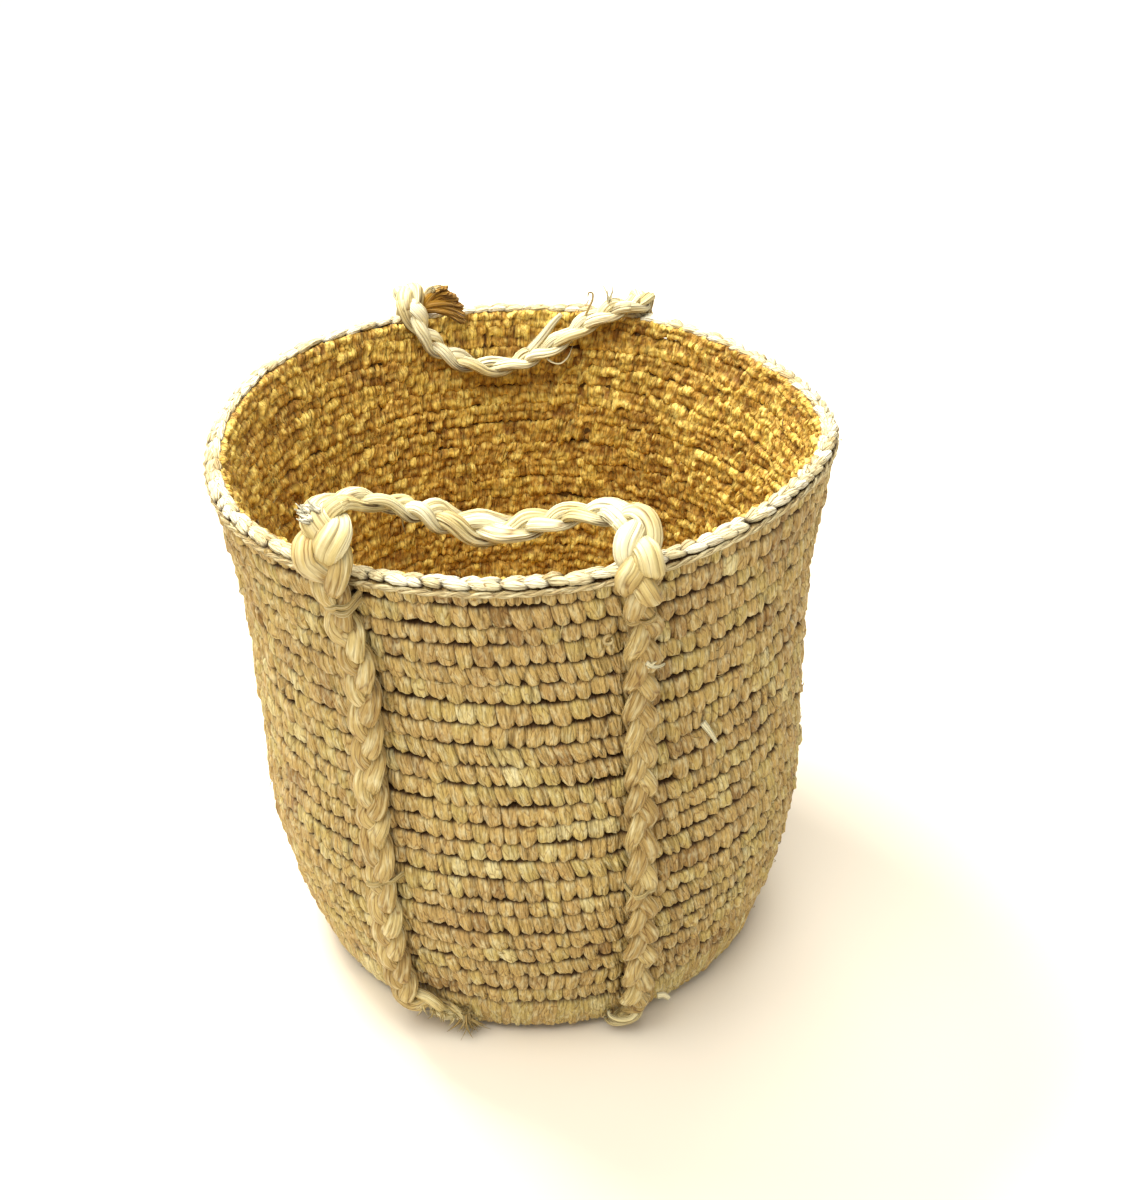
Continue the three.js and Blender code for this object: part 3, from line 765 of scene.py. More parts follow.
turn_part = stitch_round(
    TURN_LOW, TURN_HIGH, TURN_STITCH_WIDTH, relief=0.6, inset=0.2, lean=0.05, felted=0.6
)
wall_pieces = [build_piece("foot_turn_round", [turn_part], stitch_raffia)]
for band, first, last in BANDS:
    parts = [stitch_round(limits[k], limits[k + 1]) for k in range(first, last)]
    if last == WALL_ROUNDS:
        parts.append(stitch_round(TOP_ROUND_LOW, WALL_LENGTH - TOP_ROUND_DROP, inset=0.4))
    wall_pieces.append(build_piece(f"wall_rounds_{band}", parts, stitch_raffia))
for piece in wall_pieces:
    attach(piece, "basket")
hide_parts("wall")

# %% [markdown]
# Inside the stitches runs the carried strand that they are worked over. It hardly shows,
# but it closes the small nicks between rounds so that no light comes through them.

# %% Carried strand inside the stitches
CORE_OUTER = -4.6
CORE_INNER = -6.4
CORE_COLUMNS = 120
CORE_CENTRE_RADIUS = 4
CORE_BASE_STEP = 8
CORE_WALL_LOW = 2
CORE_WALL_STEP = 6
CORE_DROP = 6
CORE_TONE = 0.2
CORE_PAINTED_SHADE = 0.8
CORE_INSIDE = 0.5


def core_part():
    """Two nested copies of the profile, joined at both ends, round the whole body."""
    base_lengths = np.arange(CORE_CENTRE_RADIUS - FOOT_RADIUS, 0, CORE_BASE_STEP)
    wall = np.arange(CORE_WALL_LOW, WALL_LENGTH - CORE_DROP, CORE_WALL_STEP)
    lengths = np.concatenate([base_lengths, wall])
    section_length = np.concatenate([lengths, lengths[::-1]])
    outward = np.repeat([CORE_OUTER, CORE_INNER], len(lengths)) - BASE_INSET * (section_length < 0)
    points = body_point(full_turn(CORE_COLUMNS)[:, None], section_length[None, :], outward[None, :])
    around = np.linspace(0, 1, CORE_COLUMNS + 1)
    along = np.append(section_length, section_length[0]) * MM
    strip = np.stack(np.broadcast_arrays(around[:, None], along[None, :]), -1)
    # The strand is darkened with painted shade, as it lies deep inside the stitches.
    return grid_part(points, strip, CORE_TONE, CORE_PAINTED_SHADE, CORE_INSIDE, closed_along=True)


core_piece = build_piece("carried_strand", [core_part()], stitch_raffia)
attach(core_piece, "basket")

# %% [markdown]
# The rim is finished with one round of slip stitches, which lies on top as a chain of
# plump links. Seen from above, each stitch is a V of two links, and dark nicks show
# between them. Each link is a small closed bead, thick in the middle and slim at both
# ends, that sets off from the middle line of the chain and ends at its edge, over the
# start of the next. Under the chain, outside, lies a lip of two thin strands twisted
# round each other.

# %% Edging of the rim
EDGING_INSET = 4.5
LINK_COUNT = 108
LINK_STEPS = np.linspace(0, 1, 8)
LINK_SIDES = 8
LINK_FLATNESS = 0.8
LINK_ARCH = 0.8
LINK_START = 0.2
LINK_SPREAD_POWER = 0.8
LINK_PLUMP_POWER = 0.62
LINK_TIP = 0.05
TIP_SHADE = 0.9
TIP_SHADE_POWER = 3.5
UNDER_LINK_SHADE = 0.4
LINK_MAP_LENGTH = 11
LINK_SPREADS = {"begin": 0.008, "pitch": 0.14, "thick": 0.08, "sideways": 0.25, "lift": 0.20, "skin": 0.07}
LINK_TONE = (0.55, 0.22)
LINK_MAP_SHIFT = 0.3
LIP_TURNS = 54
LIP_RADIUS = 1.05
LIP_SWING = 0.8
LIP_SWELL = 0.12
LIP_INSET = -0.3
LIP_DROP = -3.0
LIP_STEPS = 864
LIP_SIDES = 7
LIP_ROUGH_TURNS = (31, 53, 87)
LIP_ROUGH_SIZE = 0.5
LIP_TONE = (0.15, 0.12)
LIP_SHADE = (0.45, 0.75)


def rim_frame(angle):
    """Places on the rim at some angles, and the directions that point outward there."""
    rim = body_point(angle, np.full_like(angle, WALL_LENGTH), 0.0)
    return rim, np.stack([np.cos(angle), np.sin(angle), np.zeros_like(angle)], -1)


def link_draws(kind):
    """One random value per link, of the spread that belongs to a kind."""
    return random.normal(size=LINK_COUNT) * LINK_SPREADS[kind]


def chain_links(side, reach, rise, thick, length_share):
    """Beads along the rim: place = along the rim by share, and sideways from middle to edge.

    side is 1 for outward and -1 for inward, and all lengths are millimetres."""
    begin = np.arange(LINK_COUNT) * 2 * np.pi / LINK_COUNT + link_draws("begin")
    pitch = 2 * np.pi / LINK_COUNT * length_share * (1 + link_draws("pitch"))
    plump = thick * (1 + link_draws("thick"))
    angle = begin[:, None] + pitch[:, None] * (LINK_STEPS - 0.5)
    sideways = side * (LINK_START + reach * LINK_STEPS**LINK_SPREAD_POWER) + link_draws("sideways")[:, None]
    lift = rise + LINK_ARCH * np.sin(np.pi * LINK_STEPS) + link_draws("lift")[:, None]
    bulge = np.sin(np.pi * (LINK_TIP + (1 - 2 * LINK_TIP) * LINK_STEPS))
    size = plump[:, None] * np.maximum(bulge, LINK_TIP) ** LINK_PLUMP_POWER
    turn = full_turn(LINK_SIDES)
    rim, outward = rim_frame(angle)
    centre = rim + outward * (sideways - EDGING_INSET)[..., None]
    centre[..., 2] += lift
    uneven = 1 + LINK_SPREADS["skin"] * random.normal(size=(LINK_COUNT, len(LINK_STEPS), LINK_SIDES))
    ring = outward[:, :, None, :] * (np.cos(turn) * size[..., None] * uneven)[..., None]
    ring = centre[:, :, None, :] + ring
    ring[..., 2] += np.sin(turn) * size[..., None] * uneven * LINK_FLATNESS
    strip = map_places(np.append(turn, 2 * np.pi)[None, :] * thick, LINK_STEPS[:, None] * LINK_MAP_LENGTH)
    # Painted shade: darker at the thin ends of each link, where it tucks under the next, and on its
    # underside.
    tips = (np.abs(2 * LINK_STEPS - 1) ** TIP_SHADE_POWER)[:, None] * TIP_SHADE
    under = np.clip(-np.sin(turn), 0, 1)[None, :] * UNDER_LINK_SHADE
    painted_shade = np.clip(tips + under, 0, 1)
    parts = []
    for link in range(LINK_COUNT):
        tone = np.clip(LINK_TONE[0] + LINK_TONE[1] * random.normal(), 0, 1)
        moved = strip + random.uniform(0, LINK_MAP_SHIFT, 2)
        parts.append(grid_part(ring[link], moved, tone, painted_shade, 0.0, caps=True))
    return parts


def lip_strand(phase):
    """One strand of the lip: a tube whose middle turns round the rim line many times."""
    angle = full_turn(LIP_STEPS)
    wind = LIP_TURNS * angle + phase
    turn = full_turn(LIP_SIDES)
    rough = slow_wave(angle, LIP_ROUGH_TURNS, LIP_ROUGH_SIZE)
    size = LIP_RADIUS * (1 + LIP_SWELL * np.sin(2 * wind))
    sideways = LIP_SWING * np.cos(wind) + rough + LIP_INSET
    lift = LIP_DROP + LIP_SWING * np.sin(wind) + rough
    rim, outward = rim_frame(angle)
    across = sideways[:, None] + size[:, None] * np.cos(turn)
    points = rim[:, None, :] + outward[:, None, :] * across[..., None]
    points[..., 2] += lift[:, None] + size[:, None] * np.sin(turn)
    around = np.append(turn, 2 * np.pi) * LIP_RADIUS
    along = np.append(angle, 2 * np.pi) * RIM_RADIUS
    strip = map_places(around[None, :], along[:, None]) + phase
    tone = LIP_TONE[0] + LIP_TONE[1] * np.sin(wind / 2)[:, None]
    shade = np.clip(LIP_SHADE[0] - LIP_SHADE[1] * np.cos(turn), 0, 1)[None, :]
    return grid_part(points, strip, tone, shade, 0.0, closed_along=True)


rim_parts = chain_links(side=-1, reach=2.4, rise=0.4, thick=2.5, length_share=1.45)
rim_parts = rim_parts + chain_links(side=1, reach=2.8, rise=0.1, thick=2.85, length_share=1.40)
rim_parts = rim_parts + [lip_strand(0.0), lip_strand(np.pi)]
rim_piece = build_piece("rim_chain", rim_parts, rim_raffia)
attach(rim_piece, "basket")
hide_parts("rim_edging")

# %% [markdown]
# Each handle and its two straps are one long three-strand braid. It starts at the foot of
# the wall, climbs it, swings over as the free loop and runs down the wall again. Its
# middle line is a smooth curve through nearly the same points as the frame's, worked out
# here as a spline whose knots are spaced by the square root of the distance between points.

# %% Smooth line through points
SPAN_STEPS = 24
LEAST_GAP = 1e-4


def smooth_line(points):
    """Catmull-Rom line with knots a square root of the distance apart, as places and knots."""
    p = np.asarray(points, float)
    p = np.vstack([2 * p[0] - p[1], p, 2 * p[-1] - p[-2]])
    gaps = np.maximum(np.linalg.norm(np.diff(p, axis=0), axis=1) ** 0.5, LEAST_GAP)[:, None]
    before, between, after = gaps[:-2], gaps[1:-1], gaps[2:]
    p0, p1, p2, p3 = p[:-3], p[1:-2], p[2:-1], p[3:]
    leave = (p1 - p0) / before - (p2 - p0) / (before + between) + (p2 - p1) / between
    arrive = (p2 - p1) / between - (p3 - p1) / (between + after) + (p3 - p2) / after
    leave, arrive = leave * between, arrive * between
    t = np.linspace(0, 1, SPAN_STEPS, endpoint=False)[None, :, None]
    ends = (2 * t**3 - 3 * t**2 + 1) * p1[:, None] + (3 * t**2 - 2 * t**3) * p2[:, None]
    bends = (t**3 - 2 * t**2 + t) * leave[:, None] + (t**3 - t**2) * arrive[:, None]
    line = np.vstack([(ends + bends).reshape(-1, p.shape[1]), p[-2]])
    knots = np.append((np.arange(len(p1))[:, None] + t[0, :, 0]).reshape(-1), len(p1))
    return line, knots


# %% [markdown]
# The points themselves: a strap lies on the wall nearly along one angle, a little off it,
# and rises straight to a root above the rim, where the hinge of the frame lies. Its bow is
# how many degrees it lies off a straight line at each height. A loop is given by stops,
# each a share of the span between its roots, a reach inward, a rise, and how far its flat
# face tips up from facing outward.

# %% Routes of the braids
FRONT_HINGE_HEIGHT = 336.5
BACK_HINGE_HEIGHT = 333
ROOT_LEAN = 3
STRAP_OUTSET = 7.45
STRAP_FOOT = 30
STRAP_CLIMB = 272
STRAP_HEIGHTS = STRAP_FOOT + STRAP_CLIMB * np.array([1, 0.85, 0.7, 0.5, 0.3, 0.16, 0.07, 0])
ROOT_DROPS = (3.25, 15.25)
HEIGHT_PASSES = 5
FRONT_ANGLES = ((-116.3, -116.3), (-66.6, -64.6))
BACK_ANGLES = ((118, 118), (70.5, 70.5))
FRONT_BOWS = (
    np.array([0.3, 1.9, 1.2, 0.8, 1.4, 1.1, 1.0, 0.8]),
    np.array([0, 0, 0, -0.1, -0.5, -0.5, -0.3, 0]),
)
BACK_BOWS = (0, 0)
FRONT_STOPS = np.array([
    (0, 0, 0, 30), (0, 6, 8, 36), (0, 13, 14, 48), (0.03, 20, 16, 68), (0.09, 27, 13, 98),
    (0.193, 36, 5, 104), (0.34, 44, -6, 72), (0.48, 47, -12.5, 50), (0.65, 44, -5, 62),
    (0.785, 36, 5, 76), (0.88, 27, 10.5, 72), (0.942, 19, 12, 52), (0.966, 12, 10.5, 40),
    (0.971, 5, 6, 33), (0.972, 0, 0, 30),
])
BACK_STOPS = np.array([
    (0, 0, 0, 45), (0, 7, 6, 60), (0.008, 15, 7, 86), (0.02, 23, 2, 100), (0.055, 26, -10.5, 104),
    (0.155, 24.5, -28, 100), (0.355, 23.5, -38.5, 96), (0.575, 23, -28.5, 104),
    (0.755, 22, -12, 116), (0.885, 21, -3, 114), (0.955, 18, -2.5, 102), (0.99, 13, -3.5, 86),
    (1, 7, -4, 60), (1, 0, -4.5, 45),
])
FRONT_TAILS = (
    [(-52, -139.5, 28.5), (-44.5, -139.2, 21.5), (-37, -138.6, 17), (-31, -137.5, 12.5), (-28.5, -136, 8)],
    [(67.6, -134.4, 26), (64, -132.6, 18), (58.5, -132, 12.5), (52.8, -133.6, 11.5), (49.6, -136, 15.5)],
)
BACK_TAILS = (
    [(-61, 130, 19), (-55, 130, 10.5), (-46, 132, 6), (-38, 133, 5)],
    [(52, 134, 19), (47, 133, 10.5), (39, 134.5, 6), (31, 136, 5)],
)


def unit(direction):
    """A direction brought to length one."""
    return direction / np.linalg.norm(direction)


def root_point(degrees, height):
    """Where a loop meets its strap: outside the rim by the strap's outset and a lean."""
    angle = np.radians(degrees)
    radius = RIM_RADIUS + plan_offset(angle) + STRAP_OUTSET + ROOT_LEAN
    return np.array([radius * np.cos(angle), radius * np.sin(angle), height])


def length_at(angle, heights):
    """Length along the profile at which the wall reaches a height, found by a few passes."""
    level = heights / RIM_HEIGHT
    for _ in range(HEIGHT_PASSES):
        level = (heights - rim_wave(angle) * level**WAVE_POWER) / RIM_HEIGHT
    return np.interp(level, levels, wall_lengths)


def strap_line(ends, bow, root, outward, tail):
    """Points and facings down a strap: two below its root, a row along the wall, and its tail.

    Angle = straight from root to foot, plus the bow. The tail's points are given in
    millimetres. They face away from the upright through the basket's middle."""
    share = (STRAP_HEIGHTS - STRAP_HEIGHTS[-1]) / (FRONT_HINGE_HEIGHT - STRAP_HEIGHTS[-1])
    angle = np.radians(ends[1] + (ends[0] - ends[1]) * share + bow)
    lengths = length_at(angle, STRAP_HEIGHTS)
    wall = body_point(angle, lengths, STRAP_OUTSET)
    facing = wall - body_point(angle, lengths, 0.0)
    side = np.cross(outward, (0, 0, 1))
    lean = side * ((wall[0] - root) @ side) / (root - wall[0])[2]
    tops = [root + (lean - (0, 0, 1)) * drop for drop in ROOT_DROPS]
    tail = np.asarray(tail, float)
    tail_facing = tail * (1, 1, 0) / np.linalg.norm(tail[:, :2], axis=1)[:, None]
    facings = np.vstack([[outward, outward], facing / STRAP_OUTSET, tail_facing])
    return np.vstack([tops, wall, tail]), facings


def braid_route(angles, bows, stops, height, tails):
    """Points and facings of one braid, the numbers of its root and foot points, and outward.

    The share and the rise of the first and last stop also move the tops of the straps."""
    left, right = root_point(angles[0][0], height), root_point(angles[1][0], height)
    span = right - left
    outward = np.array([left[1] - right[1], right[0] - left[0], 0.0])
    outward = unit(outward) * np.sign(outward @ left)
    tops = [left + stop[0] * span + (0, 0, stop[2]) for stop in (stops[0], stops[-1])]
    left_points, left_facings = strap_line(angles[0], bows[0], tops[0], outward, tails[0])
    right_points, right_facings = strap_line(angles[1], bows[1], tops[1], outward, tails[1])
    share, reach, rise, tip = stops.T
    loop = left + share[:, None] * span - reach[:, None] * outward
    loop[:, 2] += rise
    tip = np.radians(tip)[:, None]
    loop_facings = outward * np.cos(tip) + np.array([0, 0, 1.0]) * np.sin(tip)
    points = np.vstack([left_points[::-1], loop, right_points])
    facings = np.vstack([left_facings[::-1], loop_facings, right_facings])
    roots = (len(left_points), len(left_points) + len(loop) - 1)
    feet = (len(tails[0]), len(points) - 1 - len(tails[1]))
    return points, facings, roots, feet, outward


front_route = braid_route(FRONT_ANGLES, FRONT_BOWS, FRONT_STOPS, FRONT_HINGE_HEIGHT, FRONT_TAILS)
back_route = braid_route(BACK_ANGLES, BACK_BOWS, BACK_STOPS, BACK_HINGE_HEIGHT, BACK_TAILS)
print("points on the front braid", len(front_route[0]), "and on the back braid", len(back_route[0]))

# %% [markdown]
# In a three-strand braid every strand follows the same figure: it swings from side to side
# once a turn and dips front to back twice a turn, and the three are a third of a turn
# apart. The strands here are fuller than the frame's round bars. Each is a flattened
# bundle of folded strips, so its section is an ellipse with ridges that drift slowly
# round it.

# %% Strand of a braid
BRAID_TURN = 62.0
BRAID_SWING = 5.3
BRAID_DEPTH = 2.9
STRAND_WIDE = 4.9
STRAND_THICK = 3.5
STRAND_STEP = 1.5
STRAND_SIDES = 40
FACING_SMOOTHING = 15
LEAST_LENGTH = 1e-6
CREASE_WIDTH = 0.15
CREASE_DEPTH = 0.19
CREASE_PLACES = (0.15, 0.85)
CREASE_DRIFT = 0.35
DRIFT_LENGTHS = (9, 30)
DEPTH_LENGTHS = (6, 19)
CREASE_SHARES = (0.5, 1.0)
DEPTH_MEAN = 0.55
DEPTH_CHANGE = 0.75
CREASE_SHADE = 0.95
CREASE_SHADE_POWER = 1.5
CALM_LOSS = 0.3
CALM_TONE_LOSS = 0.5
ANY_PHASE = 6
OVAL_DRIFT = 0.04
OVAL_TURN = 0.11
ROUGH_SKIN = 0.015
STRIP_TONE_SPREAD = 0.15
TAPER_TIP = 0.04
TAPER_POWER = 0.6
BUNDLE_MAP_SHIFT = 0.5


def squared(line, facing):
    """Unit tangents of a line, and its facings made square to them."""
    tangent = np.gradient(line, axis=0)
    tangent = tangent / np.linalg.norm(tangent, axis=1)[:, None]
    facing = facing - np.sum(facing * tangent, 1)[:, None] * tangent
    return tangent, facing / np.maximum(np.linalg.norm(facing, axis=1)[:, None], LEAST_LENGTH)


def tube(line, side, facing, sideways, outward):
    """Points round a line, sideways along its side and outward along its facing."""
    points = line[:, None, :] + side[:, None, :] * sideways[..., None]
    return points + facing[:, None, :] * outward[..., None]


def even_line(points, facings, step):
    """The smooth line at even steps, with its tangent, its facing and its knots."""
    line, knots = smooth_line(points)
    lengths = np.concatenate([[0], np.cumsum(np.linalg.norm(np.diff(line, axis=0), axis=1))])
    even = np.linspace(0, lengths[-1], int(round(lengths[-1] / step)) + 1)
    centre = np.stack([np.interp(even, lengths, line[:, k]) for k in range(3)], -1)
    knot = np.interp(even, lengths, knots)
    stops = np.arange(len(facings))
    facing = np.stack([np.interp(knot, stops, facings[:, k]) for k in range(3)], -1)
    padded = np.pad(facing, ((FACING_SMOOTHING // 2, FACING_SMOOTHING // 2), (0, 0)), mode="edge")
    mean = np.ones(FACING_SMOOTHING) / FACING_SMOOTHING
    facing = np.stack([np.convolve(padded[:, k], mean, "valid") for k in range(3)], -1)
    tangent, facing = squared(centre, facing)
    return even, centre, tangent, facing, knot


def sine_drift(far, lengths, strips, local):
    """A sine along the strand for each crease, with a random wavelength and phase."""
    return np.sin(far / local.uniform(*lengths, strips) + local.uniform(0, ANY_PHASE, strips))


def tapered(along, taper):
    """One along a strand, less over the taper at its first and last end."""
    ends = np.ones_like(along)
    for end, distance in zip(taper, (along, along[-1] - along)):
        if end > 0:
            ends = ends * np.clip(TAPER_TIP + distance / end, 0, 1) ** TAPER_POWER
    return ends


def bundle(
    line, facing, wide, thick, seed, tone, strips=6, painted_shade=0.0, taper=(0, 0), sides=STRAND_SIDES,
    begin_at=0.0, calm=0.0, map_along=None,
):
    """A tube round a line: an ellipse of wide by thick, creased lengthwise between its strips.

    Radius share = 1 - sum of creases, each a bell round the section whose place and depth
    drift along the strand from begin_at. Every strip between two creases has a tone of its
    own, and where the strand is calm only each third crease is left."""
    local = np.random.default_rng(seed)
    tangent, facing = squared(line, facing)
    side = np.cross(facing, tangent)
    along = np.concatenate([[0], np.cumsum(np.linalg.norm(np.diff(line, axis=0), axis=1))])
    turn = full_turn(sides)[None, :, None]
    far = (along + begin_at)[:, None, None]
    begin = (np.arange(strips) + local.uniform(*CREASE_PLACES, strips)) * 2 * np.pi / strips
    drift = CREASE_DRIFT * sine_drift(far, DRIFT_LENGTHS, strips, local)
    change = DEPTH_CHANGE * sine_drift(far, DEPTH_LENGTHS, strips, local)
    depth = np.clip(DEPTH_MEAN + change, 0, 1)
    depth = depth * local.uniform(*CREASE_SHARES, strips)
    calm = np.broadcast_to(calm, along.shape)[:, None, None]
    depth = depth * (1 - calm * (np.arange(strips) % 3 > 0)) * (1 - CALM_LOSS * calm)
    apart = (turn - begin - drift + np.pi) % (2 * np.pi) - np.pi
    bells = depth * np.exp(-((apart / CREASE_WIDTH) ** 2))
    turn = turn[..., 0]
    share = 1 - CREASE_DEPTH * bells.sum(-1)
    oval_turn = far[..., 0] * OVAL_TURN + local.uniform(0, ANY_PHASE)
    share = share + OVAL_DRIFT * np.cos(2 * turn + oval_turn)
    share = share + ROUGH_SKIN * local.normal(size=share.shape)
    strip_tones = STRIP_TONE_SPREAD * local.normal(size=strips + 1)
    strip_tones = strip_tones[(turn.T > begin).sum(-1)]
    strip_tones = strip_tones * (1 - CALM_TONE_LOSS * calm[:-1, :, 0])
    face_tone = np.broadcast_to(tone, along.shape)[:-1, None] + strip_tones
    ends = tapered(along, taper)
    wide = (np.broadcast_to(wide, along.shape) * ends)[:, None]
    thick = (np.broadcast_to(thick, along.shape) * ends)[:, None]
    points = tube(line, side, facing, share * wide * np.cos(turn), share * thick * np.sin(turn))
    around = np.append(turn[0], 2 * np.pi) * STRAND_THICK
    map_along = along if map_along is None else map_along
    strip = map_places(around[None, :], map_along[:, None]) + local.uniform(0, BUNDLE_MAP_SHIFT, 2)
    shade = bells.max(-1) ** CREASE_SHADE_POWER * CREASE_SHADE
    shade = shade + np.broadcast_to(painted_shade, along.shape)[:, None]
    return grid_part(points, strip, np.clip(face_tone, 0, 1), np.clip(shade, 0, 1), 0.0, caps=True)


# %% [markdown]
# A braid is cut into the same pieces as the frame: a strap on each side, which bends over
# the hinge at its root, and the loop between them. The cuts fall a few centimetres inside
# the loop, where the loop already turns as one with its body, and the strands run on past
# them a little so that no seam opens. At its left front root the real braid is loose and
# fat, and just after it slim, so the girth of a strand may swell or shrink at a place. It
# also narrows under each lashing, and a strand is fullest where it lies on top. The loops
# are paler than the straps, as painted light from above, and show many fine strips. The
# straps are as brown as the wall and plain, and worn, so that their fibres look shorter.

# %% Braids
UPPER_LASHING_HEIGHT = 305
LOWER_LASHING_HEIGHT = 127
PINCH = 0.17
PINCH_REACH = 6.0
CUT_PAST_ROOT = 26.0
CUT_OVERLAP = 3.0
STRAND_TONES = (0.55, 0.40, 0.68)
STRAND_STRIPS = 9
FADE_LENGTH = 44.0
FADE_LEAD = 20.0
LOOP_PAINTED_LIGHT = 0.20
STRAP_TONES = (-0.34, -0.46)
TAIL_TONE = 0.16
TAIL_FADE = 40
WORN_STRETCH = 2.4
TAIL_LEAD = 14.0
TAIL_LENGTH = 65.0
TAIL_TAPER = {"left_tail": (9, 0), "right_tail": (0, 9)}
UNEVEN_SPACING = 20
UNEVEN_PHASE = 0.28
UNEVEN_SIZE = 0.04
UNEVEN_SWING = 0.06
UNEVEN_ROLL = 13
TOP_SWELL = 0.13
UNDER_SHADE = 0.45
SLIP_LENGTH = 90
FRONT_SWELLS = (
    (0, 3, 0.48, 14), (0, -28, -0.10, 12), (0, 42, -0.24, 22), (0, -150, -0.06, 90),
    (1, -62, -0.26, 34), (1, -4, 0.28, 18), (1, 150, -0.14, 90),
)
BACK_SWELLS = ((0, -8, 0.06, 14), (0, 60, -0.16, 50), (1, -65, -0.24, 50), (1, -6, -0.12, 22))
tail_parts = {}


def braid_girth(even, centre, at_root, swells):
    """One, plus a bell at each swell (root, place past it, extra, reach), less a bell at lashings."""
    girth = np.ones_like(even)
    for root, past, extra, reach in swells:
        girth = girth + extra * np.exp(-(((even - at_root[root] - past) / reach) ** 2))
    on_wall = (even < at_root[0]) | (even > at_root[1])
    for height in (UPPER_LASHING_HEIGHT, LOWER_LASHING_HEIGHT):
        pinch = np.exp(-(((centre[:, 2] - height) / PINCH_REACH) ** 2))
        girth = girth * (1 - PINCH * pinch * on_wall)
    return girth


def bind_strap(piece):
    """Bakes the strap's place into its mesh."""
    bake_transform(piece)


def smooth_step(values):
    """Nought up to nought, one from one, and an even curve between."""
    held = np.clip(values, 0, 1)
    return held * held * (3 - 2 * held)


def add_braid(name, route, swells, phase, slip, seed):
    """Three strands: place = middle line + swing to the side + depth along the facing.

    slip turns the figure back in the right half. The map is stretched where the strip is
    worn, so that its fibres come out short there."""
    points, facings, roots, feet, outward = route
    even, centre, tangent, facing, knot = even_line(points, facings, STRAND_STEP)
    at_root = np.interp(roots, knot, even)
    at_foot = np.interp(feet, knot, even)
    girth = braid_girth(even, centre, at_root, swells)
    past_foot = np.maximum(np.maximum(at_foot[0] - even, even - at_foot[1]) + TAIL_LEAD, 0)
    girth = girth / (1 + past_foot / TAIL_LENGTH)
    local = np.random.default_rng(seed)
    draws = local.normal(size=int(even[-1] // UNEVEN_SPACING) + 3)
    uneven = np.interp(even, np.arange(0, even[-1] + 2 * UNEVEN_SPACING, UNEVEN_SPACING), draws)
    # Painted light: the tone is paler on the loop, where the light from above falls, and fades to each
    # strap's own tone down the wall, and to the tail's past the foot.
    below_root = np.maximum(at_root[0] - even, even - at_root[1])
    down = smooth_step((below_root + FADE_LEAD) / FADE_LENGTH)
    strap_tone = np.where(even < even[-1] / 2, *STRAP_TONES)
    tone_fade_and_loop_light = LOOP_PAINTED_LIGHT + (strap_tone - LOOP_PAINTED_LIGHT) * down
    tone_fade_and_loop_light = tone_fade_and_loop_light + (TAIL_TONE - strap_tone) * smooth_step(past_foot / TAIL_FADE)
    map_along = np.concatenate([[0], np.cumsum(np.diff(even) * (1 + WORN_STRETCH * down[1:]))])
    slipped = slip * smooth_step((even - even[-1] / 2) / SLIP_LENGTH)
    across = np.cross(facing, tangent)
    cuts = (at_root[0] + CUT_PAST_ROOT, at_root[1] - CUT_PAST_ROOT)
    spans = {
        f"{name}_left_tail": even <= at_foot[0] + CUT_OVERLAP,
        f"{name}_left_strap": (even >= at_foot[0]) & (even <= cuts[0] + CUT_OVERLAP),
        f"{name}_handle": (even >= cuts[0] - CUT_OVERLAP) & (even <= cuts[1] + CUT_OVERLAP),
        f"{name}_right_strap": (even >= cuts[1] - CUT_OVERLAP) & (even <= at_foot[1]),
        f"{name}_right_tail": even >= at_foot[1] - CUT_OVERLAP,
    }
    fields = [centre, across, facing]
    for number, letter in enumerate("abc"):
        angle = 2 * np.pi * (even / BRAID_TURN + number / 3) + phase - slipped + UNEVEN_PHASE * uneven
        on_top = np.sin(2 * angle)
        size = girth * (1 + TOP_SWELL * on_top + UNEVEN_SIZE * np.roll(uneven, UNEVEN_ROLL * number))
        swing = BRAID_SWING * girth * (1 + UNEVEN_SWING * uneven) * np.sin(angle)
        depth = BRAID_DEPTH * girth * on_top
        line = centre + across * swing[:, None] + facing * depth[:, None]
        fields.append(np.stack([swing, depth, STRAND_WIDE * size, STRAND_THICK * size], -1))
        under = np.clip(-on_top, 0, 1) * UNDER_SHADE
        for piece_name, chosen in spans.items():
            part = bundle(
                line[chosen],
                facing[chosen],
                STRAND_WIDE * size[chosen],
                STRAND_THICK * size[chosen],
                seed + number,
                STRAND_TONES[number] + tone_fade_and_loop_light[chosen],
                strips=STRAND_STRIPS + number,
                painted_shade=under[chosen],
                taper=TAIL_TAPER.get(piece_name.split("_", 1)[1], (0, 0)),
                begin_at=even[chosen][0],
                calm=down[chosen],
                map_along=map_along[chosen],
            )
            if piece_name.endswith("tail"):
                tail_parts.setdefault(piece_name, []).append(part)
                continue
            piece = build_piece(f"{piece_name}_braid_{letter}", [part], braid_raffia)
            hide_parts(f"{piece_name}_strand_{letter}")
            if piece_name.endswith("handle"):
                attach(piece, f"{name}_handle")
            else:
                bind_strap(piece)
    fields = np.hstack(fields)
    return fields[even < at_root[0]], fields[even > at_root[1]][::-1]


front_left, front_right = add_braid("front", front_route, FRONT_SWELLS, phase=0.6, slip=0.8, seed=11)
back_left, back_right = add_braid("back", back_route, BACK_SWELLS, phase=1.9, slip=0.0, seed=31)

# %% [markdown]
# Each strap is sewn to the wall near the rim and again lower down, with a turn or two of a
# thin raffia strip. A stiff arch over the strap would stand off it and look like wire, so a
# turn is laid on the three strands as they lie there: at each step across the strap it
# takes the highest of the three ovals, and past the last strand it dives into the wall.

